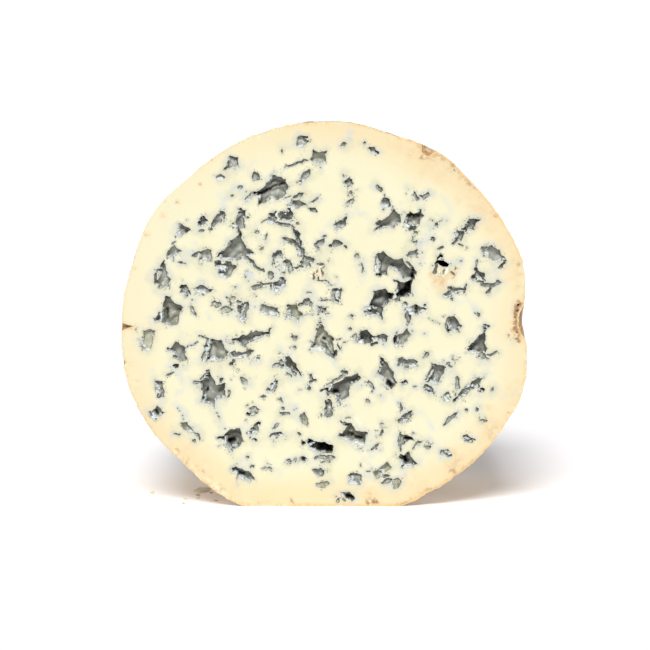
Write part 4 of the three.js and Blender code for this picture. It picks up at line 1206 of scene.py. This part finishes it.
# %% Build the sheet
sheet = bmesh.new()
layers = {name: sheet.verts.layers.float.new(name) for name in ATTRIBUTES}
sheet_verts = []
for number in range(len(flat_points)):
    place, values = sheet_point(number)
    vert = sheet.verts.new(place)
    for name, value in values.items():
        vert[layers[name]] = value
    sheet_verts.append(vert)
for triangle, owner in zip(triangles, owners):
    if owner != OUTSIDE:
        face = sheet.faces.new([sheet_verts[number] for number in reversed(triangle)])
        face.material_index = PASTE if owner == PLAIN else MOULD
print("sheet", len(sheet.faces), "triangles")

# %% [markdown]
# The sheet and the rind side meet at the rim of the cut, point by point. Merging those pairs of
# points closes the cheese into one skin.

# %% Join the sheet to the rind
JOIN_REACH = 0.004 * MM
SHARP_ANGLE = math.radians(38)

for face in rind.faces:
    face.material_index = RIND
skin_mesh = bpy.data.meshes.new("skin_mesh")
rind.to_mesh(skin_mesh)
rind.free()
sheet.from_mesh(skin_mesh)
bpy.data.meshes.remove(skin_mesh)
open_verts = [v for v in sheet.verts if v.is_boundary]
bmesh.ops.remove_doubles(sheet, verts=open_verts, dist=JOIN_REACH)
bmesh.ops.delete(sheet, geom=[v for v in sheet.verts if not v.link_faces], context="VERTS")
bmesh.ops.recalc_face_normals(sheet, faces=sheet.faces)
for face in sheet.faces:
    face.smooth = True
print("open edges", sum(1 for e in sheet.edges if not e.is_manifold))
body = make_object(sheet, "cut_cheese")
for material in finishes:
    body.data.materials.append(material)
body.data.set_sharp_from_angle(angle=SHARP_ANGLE)
print("cheese", len(body.data.polygons), "faces")

# %% [markdown]
# ## Materials
# A material is a small network of nodes that ends in the Principled shader. The helpers below
# add a node, blend two colours, and fade a number between two values. Patterns are read from
# Object coordinates, so a noise with a size of 2 mm is 2 mm on the real cheese.

# %% Node helpers


def add_node(tree, kind, inputs=None, **settings):
    """Add a shader node. Each input is a value, or another node's output to link."""
    new = tree.nodes.new("ShaderNode" + kind)
    for name, value in settings.items():
        setattr(new, name, value)
    for socket, value in (inputs or {}).items():
        if isinstance(value, bpy.types.NodeSocket):
            tree.links.new(value, new.inputs[socket])
        else:
            new.inputs[socket].default_value = value
    return new


def srgb(red, green, blue):
    """A colour from its screen values, 0 to 255, as linear light."""
    def linear(value):
        value /= 255
        return value / 12.92 if value <= 0.04045 else ((value + 0.055) / 1.055) ** 2.4
    return (linear(red), linear(green), linear(blue), 1.0)


def blend(tree, factor, first, second, mode="MIX"):
    inputs = {0: factor, 6: first, 7: second}
    return add_node(tree, "Mix", inputs, data_type="RGBA", blend_type=mode).outputs[2]


def fade(tree, value, start, end):
    """0 where the value is at start, 1 where it is at end, with a smooth change between."""
    inputs = {"Value": value, "From Min": start, "From Max": end}
    new = add_node(tree, "MapRange", inputs, interpolation_type="SMOOTHSTEP")
    return new.outputs["Result"]


def maths(tree, operation, first, second=0.0, third=0.0):
    inputs = {0: first, 1: second, 2: third}
    return add_node(tree, "Math", inputs, operation=operation).outputs[0]


def attribute(tree, name):
    return add_node(tree, "Attribute", attribute_name=name).outputs["Fac"]


def noise_of(tree, size_mm, detail=3.0, roughness=0.55, offset=0.0):
    """Noise between 0 and 1 whose blobs are about size_mm across."""
    place = add_node(tree, "TexCoord").outputs["Object"]
    moved = add_node(tree, "Mapping", {"Vector": place, "Location": (offset, offset, offset)})
    inputs = {
        "Vector": moved.outputs["Vector"],
        "Scale": 1.0 / (size_mm * MM),
        "Detail": detail,
        "Roughness": roughness,
    }
    return add_node(tree, "TexNoise", inputs).outputs["Fac"]


def flecks(tree, size_mm, share, offset=0.0):
    """Small round flecks: 1 inside one, 0 elsewhere. Share is their size within a cell."""
    place = add_node(tree, "TexCoord").outputs["Object"]
    moved = add_node(tree, "Mapping", {"Vector": place, "Location": (offset, offset, offset)})
    inputs = {"Vector": moved.outputs["Vector"], "Scale": 1.0 / (size_mm * MM)}
    cells = add_node(tree, "TexVoronoi", inputs)
    return fade(tree, cells.outputs["Distance"], share, share * 0.6)


def start_material(material):
    material.use_nodes = True
    tree = material.node_tree
    tree.nodes.clear()
    shader = add_node(tree, "BsdfPrincipled")
    output = add_node(tree, "OutputMaterial")
    tree.links.new(shader.outputs["BSDF"], output.inputs["Surface"])
    return tree, shader


def add_bump(tree, shader, height, distance_mm, strength=1.0):
    inputs = {"Height": height, "Distance": distance_mm * MM, "Strength": strength}
    bump = add_node(tree, "Bump", inputs)
    tree.links.new(bump.outputs["Normal"], shader.inputs["Normal"])


# %% [markdown]
# ### Paste
# The paste is a pale cream that light goes a little way into. It turns from cream in the middle
# to straw and peach under the rind, and to a cold blue-white close to the mould, with mould
# dust like pepper along the rims. It is moist, so it has a soft shine broken by fine bumps.

# %% Paste: plain and near the mould
CREAM = srgb(213, 209, 180)
DEEP_CREAM = srgb(211, 205, 172)
STRAW = srgb(212, 196, 157)
HALO_GREEN = srgb(188, 188, 165)
HALO_BLUE = srgb(183, 187, 182)
RIM_GREY = srgb(166, 169, 155)
SMEAR_BLUE = srgb(180, 190, 198)
DUST_GREY = srgb(84, 88, 80)


def plain_paste(tree, middle):
    """Cream, and straw towards the rind."""
    colour = blend(tree, noise_of(tree, 14, 2), CREAM, DEEP_CREAM)
    edge_shift = maths(tree, "MULTIPLY", middle, 6.0)
    edge = fade(tree, maths(tree, "ADD", attribute(tree, "rim_mm"), edge_shift), 17, 2)
    edge = maths(tree, "MULTIPLY", edge, attribute(tree, "warm"))
    return blend(tree, maths(tree, "MULTIPLY", edge, 0.95), colour, STRAW)


def paste_near_mould(tree, colour, middle, fine):
    """A cold halo round the pockets, smears of blue, and dust along the rims."""
    near = attribute(tree, "pocket_mm")
    halo_reach = maths(tree, "MULTIPLY", maths(tree, "SUBTRACT", middle, 0.5), -7.0)
    halo = fade(tree, maths(tree, "ADD", near, halo_reach), 2.4, -0.4)
    cold = fade(tree, noise_of(tree, 6, 2, offset=0.9), 0.42, 0.6)
    dim = blend(tree, cold, HALO_GREEN, HALO_BLUE)
    colour = blend(tree, maths(tree, "MULTIPLY", halo, 0.62), colour, dim)
    close = fade(tree, maths(tree, "ADD", near, fine), 1.3, 0.4)
    colour = blend(tree, maths(tree, "MULTIPLY", close, 0.45), colour, RIM_GREY)
    smear = maths(tree, "MULTIPLY", attribute(tree, "smear"), fade(tree, middle, 0.3, 0.6))
    colour = blend(tree, maths(tree, "MULTIPLY", smear, 0.6), colour, SMEAR_BLUE)
    dust = fade(tree, noise_of(tree, 0.7, 2, 0.7, offset=1.9), 0.58, 0.65)
    dust = maths(tree, "MULTIPLY", dust, fade(tree, near, 1.5, 0.3))
    dust = maths(tree, "MULTIPLY", dust, fade(tree, noise_of(tree, 4, 2, offset=1.3), 0.45, 0.6))
    return blend(tree, dust, colour, DUST_GREY)


# %% Paste: torn, stained and along the rind
TORN_AND_HIGHLIGHT_WHITE = srgb(226, 219, 196)
STAIN_TAN = srgb(210, 190, 151)
STAIN_BROWN = srgb(150, 112, 72)
RIND_LINE = srgb(210, 178, 126)


def paste_marks(tree, colour, middle, fine):
    """Torn paste is lighter, also as a painted highlight on its ridges, stains go from tan to
    brown, and a warm line follows the rind.
    """
    # lighter torn paste on the curls and the burr, partly a painted highlight on the raised ridges
    torn_and_highlight = maths(tree, "MULTIPLY", attribute(tree, "torn_and_highlight"), 0.8)
    colour = blend(tree, torn_and_highlight, colour, TORN_AND_HIGHLIGHT_WHITE)
    mottled = maths(tree, "MULTIPLY", attribute(tree, "stain"), fade(tree, fine, 0.1, 0.6))
    colour = blend(tree, fade(tree, mottled, 0.0, 0.5), colour, STAIN_TAN)
    colour = blend(tree, fade(tree, mottled, 0.35, 0.9), colour, STAIN_BROWN)
    from_rind = maths(tree, "MULTIPLY_ADD", middle, 1.6, attribute(tree, "rim_mm"))
    line = maths(tree, "MULTIPLY", fade(tree, from_rind, 2.0, 0.9), attribute(tree, "warm"))
    return blend(tree, maths(tree, "MULTIPLY", line, 0.75), colour, RIND_LINE)


def finish_paste(material):
    tree, shader = start_material(material)
    middle = noise_of(tree, 5, 3, offset=0.3)
    fine = noise_of(tree, 1.1, 3, offset=0.7)
    colour = plain_paste(tree, middle)
    colour = paste_near_mould(tree, colour, middle, fine)
    colour = paste_marks(tree, colour, middle, fine)
    tree.links.new(colour, shader.inputs["Base Color"])
    tree.links.new(fade(tree, middle, 1.4, -0.6), shader.inputs["Roughness"])
    shader.inputs["Subsurface Weight"].default_value = 0.2
    shader.inputs["Subsurface Radius"].default_value = (1.0, 0.8, 0.4)
    shader.inputs["Subsurface Scale"].default_value = 1.2 * MM
    add_bump(tree, shader, maths(tree, "ADD", fine, middle), 0.06)


finish_paste(finishes[PASTE])

# %% [markdown]
# ### Mould
# In the pockets the mould is a grey velvet, blue to olive, and in a few chips it is brown. Its
# pale flecks are partly bloom and partly painted glints. Shade is painted on it: it is black in
# the clefts and dark under the upper right rims. It is thin and pale on the ledges, which end in a
# painted highlight, a bright wet line, and the lower left rims have a pale lip with a painted
# highlight.

# %% Mould: the velvet
GREYS = (srgb(62, 64, 58), srgb(206, 206, 190))  # from dark to light
OLIVES = (srgb(70, 68, 48), srgb(206, 204, 170))
BROWNS = (srgb(92, 76, 54), srgb(190, 166, 128))
CRUST = srgb(58, 60, 54)
BLOOM_AND_GLINT = srgb(218, 224, 222)


def velvet(tree, blobs, fleck_pattern, shaded):
    """The shade of a pocket, with dark crusts, and pale flecks that are partly bloom and partly
    painted glints.
    """
    light_here = attribute(tree, "light")
    olive_here = attribute(tree, "olive")
    busy = attribute(tree, "busy")
    grey, green, brown = [blend(tree, light_here, *pair) for pair in (GREYS, OLIVES, BROWNS)]
    colour = blend(tree, fade(tree, olive_here, 0.0, 1.0), grey, green)
    colour = blend(tree, fade(tree, olive_here, 1.2, 1.8), colour, brown)
    crust = fade(tree, blobs, 0.52, 0.4)
    crust = maths(tree, "MULTIPLY", crust, maths(tree, "MULTIPLY_ADD", busy, 0.5, 0.2))
    crust = maths(tree, "MULTIPLY", crust, shaded)
    colour = blend(tree, maths(tree, "ADD", crust, 0.06), colour, CRUST)
    # pale flecks, partly white bloom and partly painted glints
    bloom_and_glints = maths(tree, "MULTIPLY", fleck_pattern, maths(tree, "MULTIPLY_ADD", busy, 0.32, 0.08))
    bloom_and_glints = maths(tree, "MULTIPLY", bloom_and_glints, fade(tree, olive_here, 1.8, 1.2))
    return blend(tree, maths(tree, "ADD", bloom_and_glints, 0.08), colour, BLOOM_AND_GLINT)


# %% Mould: rims, ledges and clefts
PAINTED_SHADE_UNDER_RIM = srgb(34, 36, 32)
PALE_LIP_AND_HIGHLIGHT = srgb(226, 230, 228)
LEDGE_LIGHT, LEDGE_DARK = srgb(204, 212, 212), srgb(120, 128, 130)
PAINTED_WET_GLINT = srgb(244, 246, 244)
PAINTED_CLEFT_SHADE = srgb(18, 19, 17)


def mould_rims(tree, colour, blobs, fine, shaded):
    """Painted shade under the upper right rim of a pocket, and a pale lip with a painted highlight
    along its lower left rim.
    """
    side = attribute(tree, "side")
    near = attribute(tree, "pocket_mm")
    ragged_mm = maths(tree, "ADD", near, maths(tree, "MULTIPLY", fine, 0.7))
    # painted shade: dark in the pocket just under its upper right rim
    painted_rim_shade = maths(tree, "MULTIPLY", fade(tree, ragged_mm, 0.85, 0.5), fade(tree, side, -0.5, 0.5))
    strength = maths(tree, "MULTIPLY_ADD", attribute(tree, "busy"), 0.5, 0.42)
    painted_rim_shade = maths(tree, "MULTIPLY", maths(tree, "MULTIPLY", painted_rim_shade, strength), shaded)
    colour = blend(tree, painted_rim_shade, colour, PAINTED_SHADE_UNDER_RIM)
    # pale paste lip along the lower left rim, made brighter as a painted highlight
    lip_and_highlight = maths(tree, "MULTIPLY", fade(tree, ragged_mm, 0.65, 0.35), fade(tree, side, 0.0, -0.7))
    lip_and_highlight = maths(tree, "MULTIPLY", lip_and_highlight, fade(tree, blobs, 0.46, 0.54))
    return blend(tree, maths(tree, "MULTIPLY", lip_and_highlight, 0.75), colour, PALE_LIP_AND_HIGHLIGHT)


def mould_ledges(tree, colour, fleck_pattern):
    """Pale ledges that end in a painted highlight, a bright wet line, and painted black shade in
    the clefts.
    """
    ledge = attribute(tree, "ledge")
    pale = blend(tree, fleck_pattern, LEDGE_LIGHT, LEDGE_DARK)
    colour = blend(tree, maths(tree, "MULTIPLY", ledge, 0.9), colour, pale)
    # painted highlight: a bright wet line where a ledge ends
    painted_glint = maths(tree, "MULTIPLY", fade(tree, ledge, 0.2, 0.5), fade(tree, ledge, 0.85, 0.55))
    colour = blend(tree, maths(tree, "MULTIPLY", painted_glint, 0.8), colour, PAINTED_WET_GLINT)
    # painted shade: clefts and the darkest pockets are made nearly black
    darkest_pocket_shade = fade(tree, attribute(tree, "light"), 0.14, 0.02)
    cleft = maths(tree, "MAXIMUM", attribute(tree, "cleft"), darkest_pocket_shade)
    return blend(tree, cleft, colour, PAINTED_CLEFT_SHADE)


# %% Mould finish


def finish_mould(material):
    tree, shader = start_material(material)
    blobs = noise_of(tree, 1.7, 3, 0.65, offset=2.1)
    fine = noise_of(tree, 0.6, 3, 0.65, offset=2.7)
    # flecks: bloom and painted glints in the velvet, dark specks on the ledges
    fleck_pattern = fade(tree, fine, 0.53, 0.6)
    shaded = fade(tree, attribute(tree, "light"), 1.0, 0.6)  # 0 in the lightest pockets
    colour = velvet(tree, blobs, fleck_pattern, shaded)
    colour = mould_rims(tree, colour, blobs, fine, shaded)
    colour = mould_ledges(tree, colour, fleck_pattern)
    tree.links.new(colour, shader.inputs["Base Color"])
    tree.links.new(fade(tree, blobs, 1.1, -0.2), shader.inputs["Roughness"])
    shader.inputs["Subsurface Weight"].default_value = 0.08
    shader.inputs["Subsurface Radius"].default_value = (0.8, 0.8, 0.7)
    shader.inputs["Subsurface Scale"].default_value = 0.6 * MM
    add_bump(tree, shader, fine, 0.08)


finish_mould(finishes[MOULD])

# %% [markdown]
# ### Rind
# The rind is dry and thin: tan with brown blotches where other moulds have grown, dusted with a
# grey-white bloom, and dotted with small dark specks. It is made browner in the last few
# millimetres before the cut.

# %% Rind finish
TAN, BLOTCH = srgb(214, 190, 146), srgb(196, 160, 108)
BROWN_MOULD = srgb(156, 112, 66)
BLOOM_WHITE = srgb(226, 222, 208)
FRONT_DARK, FRONT_LIGHT = srgb(150, 112, 74), srgb(206, 172, 128)
SPECK_BROWN = srgb(64, 54, 42)


def finish_rind(material):
    tree, shader = start_material(material)
    broad = noise_of(tree, 18, 4, 0.6, offset=3.1)
    patches = noise_of(tree, 6, 4, 0.6, offset=3.7)
    fine = noise_of(tree, 1.3, 4, 0.6, offset=4.3)
    colour = blend(tree, fade(tree, broad, 0.35, 0.65), TAN, BLOTCH)
    colour = blend(tree, fade(tree, patches, 0.56, 0.72), colour, BROWN_MOULD)
    grain = maths(tree, "MULTIPLY_ADD", fine, 0.5, maths(tree, "MULTIPLY", patches, 0.5))
    dusted = maths(tree, "MULTIPLY", fade(tree, grain, 0.4, 0.58), fade(tree, broad, 0.62, 0.42))
    colour = blend(tree, maths(tree, "MULTIPLY", dusted, 0.75), colour, BLOOM_WHITE)
    place = add_node(tree, "TexCoord").outputs["Object"]
    depth = add_node(tree, "SeparateXYZ", {0: place}).outputs["Y"]
    front = fade(tree, depth, CUT_Y + 7 * MM, CUT_Y + 2 * MM)
    browned = blend(tree, fade(tree, fine, 0.35, 0.65), FRONT_DARK, FRONT_LIGHT)
    colour = blend(tree, maths(tree, "MULTIPLY", front, 0.85), colour, browned)
    specks = maths(tree, "MULTIPLY", flecks(tree, 2.2, 0.2), fade(tree, patches, 0.5, 0.62))
    colour = blend(tree, specks, colour, SPECK_BROWN)
    tree.links.new(colour, shader.inputs["Base Color"])
    shader.inputs["Roughness"].default_value = 0.82
    shader.inputs["Specular IOR Level"].default_value = 0.3
    add_bump(tree, shader, maths(tree, "ADD", fine, patches), 0.25)


finish_rind(finishes[RIND])
print("finishes", [material.name for material in finishes])

# %% [markdown]
# ## Crumbs
# A few crumbs and a thin brown flake have dropped beside the cheese, on its left. Each is a ball
# that noise has dented, pressed into a lump and cut off flat where it lies on the floor. They
# wear the paste's finish, so they carry two of its attributes.

# %% Crumbs, as (x, distance behind the cut, length, width, height, how brown)
CRUMBS = [
    (-41, 37.5, 6.5, 12, 0.12, 0.4), (-57.9, 29.4, 1.4, 1, 0.7, 0.1),
    (-42.1, 23.6, 1.6, 1.2, 0.7, 0.1), (-41.7, 16.5, 1.5, 1.2, 0.7, 0.3),
    (-45.8, 15.1, 1.3, 1, 0.6, 0.1), (-45.8, 5.4, 1.1, 1, 0.6, 0.2), (-38, 30, 1, 0.8, 0.5, 0.4),
    (-35.5, 12.5, 1.2, 0.8, 0.4, 0.5),
]
DENT = 0.6
CUT_OFF = 0.4  # how far below its middle a ball is cut off, over its size
CLEAR_OF_MOULD = 9.0  # mm to the nearest mould, so that a crumb has no blue halo


def make_crumbs():
    """All the crumbs as one object."""
    bm = bmesh.new()
    stain_layer = bm.verts.layers.float.new("stain")
    near_layer = bm.verts.layers.float.new("pocket_mm")
    for x, y, length, width, height, brown in CRUMBS:
        lump = bmesh.ops.create_icosphere(bm, subdivisions=3, radius=0.5)
        for vert in lump["verts"]:
            ball = vert.co * (1 + DENT * noise.noise(vert.co * 1.6 + Vector((x, y, 0))))
            ball = Vector((ball.x * length, ball.y * width, max(0.0, ball.z + CUT_OFF) * height))
            vert.co = Vector((x, CUT_Y / MM + y, 0)) * MM + ball * MM
            vert[stain_layer] = brown
            vert[near_layer] = CLEAR_OF_MOULD
    return make_object(bm, "crumbs")


crumbs = make_crumbs()
crumbs.data.materials.append(finishes[PASTE])
print("crumbs", len(crumbs.data.polygons), "faces")

# %% [markdown]
# ## Studio
# The cheese stands on a white floor in a white room, under one large soft lamp that shines from
# the front, from well above and a little from the left. It is a sun lamp, so the floor is evenly
# lit right up to the horizon, and its wide angle makes the shadow soft. The room adds only a
# little light from above. The floor itself glows a little, to stay white next to the cheese.

# %% Floor, lights and world
FLOOR_SIDE = 60.0


def make_floor():
    bm = bmesh.new()
    bmesh.ops.create_grid(bm, x_segments=1, y_segments=1, size=FLOOR_SIDE / 2)
    floor = make_object(bm, "studio_floor")
    white = bpy.data.materials.new("studio_white")
    _, shader = start_material(white)
    shader.inputs["Base Color"].default_value = (0.95, 0.94, 0.955, 1)
    shader.inputs["Roughness"].default_value = 0.9
    shader.inputs["Specular IOR Level"].default_value = 0.1
    shader.inputs["Emission Color"].default_value = (1.0, 0.97, 0.975, 1)
    shader.inputs["Emission Strength"].default_value = 0.16
    floor.data.materials.append(white)
    return floor


def soft_light(name, azimuth, elevation, strength, softness):
    """A lamp in front of the cheese. Angles are in degrees, and azimuth turns towards +X."""
    data = bpy.data.lights.new(name, "SUN")
    data.energy = strength
    data.angle = math.radians(softness)
    lamp = bpy.data.objects.new(name, data)
    bpy.context.scene.collection.objects.link(lamp)
    side, height = math.radians(azimuth), math.radians(elevation)
    towards = Vector((math.sin(side) * math.cos(height), -math.cos(side) * math.cos(height),
                      math.sin(height)))
    lamp.rotation_euler = towards.to_track_quat("Z", "Y").to_euler()
    return lamp


def between(tree, value, start_end, low_high):
    """Where the value lies from start to end, as a number from low to high."""
    inputs = dict(zip(("From Min", "From Max", "To Min", "To Max"), start_end + low_high))
    return add_node(tree, "MapRange", {"Value": value, **inputs}).outputs["Result"]


def make_world():
    """A white room: bright behind the cheese at the height of the eye, and dimmer elsewhere."""
    world = bpy.data.worlds.new("studio")
    world.use_nodes = True
    tree = world.node_tree
    direction = add_node(tree, "TexCoord").outputs["Generated"]
    axes = add_node(tree, "SeparateXYZ", {0: direction}).outputs
    above = between(tree, axes["Y"], (-1.0, 1.0), (0.02, 0.27))
    behind = between(tree, axes["Y"], (-0.3, 0.2), (0.4, 1.06))
    level = fade(tree, maths(tree, "ABSOLUTE", axes["Z"]), 0.4, 0.22)
    strength = add_node(tree, "MapRange", {"Value": level, "To Min": above, "To Max": behind})
    background = tree.nodes["Background"]
    tree.links.new(strength.outputs["Result"], background.inputs["Strength"])
    background.inputs["Color"].default_value = (1, 1, 1, 1)
    return world


floor = make_floor()
soft_light("key_light", -7, 40, 3.65, 23)
bpy.context.scene.world = make_world()
bpy.context.scene.view_settings.view_transform = "Standard"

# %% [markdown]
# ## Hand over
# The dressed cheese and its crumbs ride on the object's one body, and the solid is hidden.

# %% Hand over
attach(body, "root")
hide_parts("cheese")
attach(crumbs, "root")
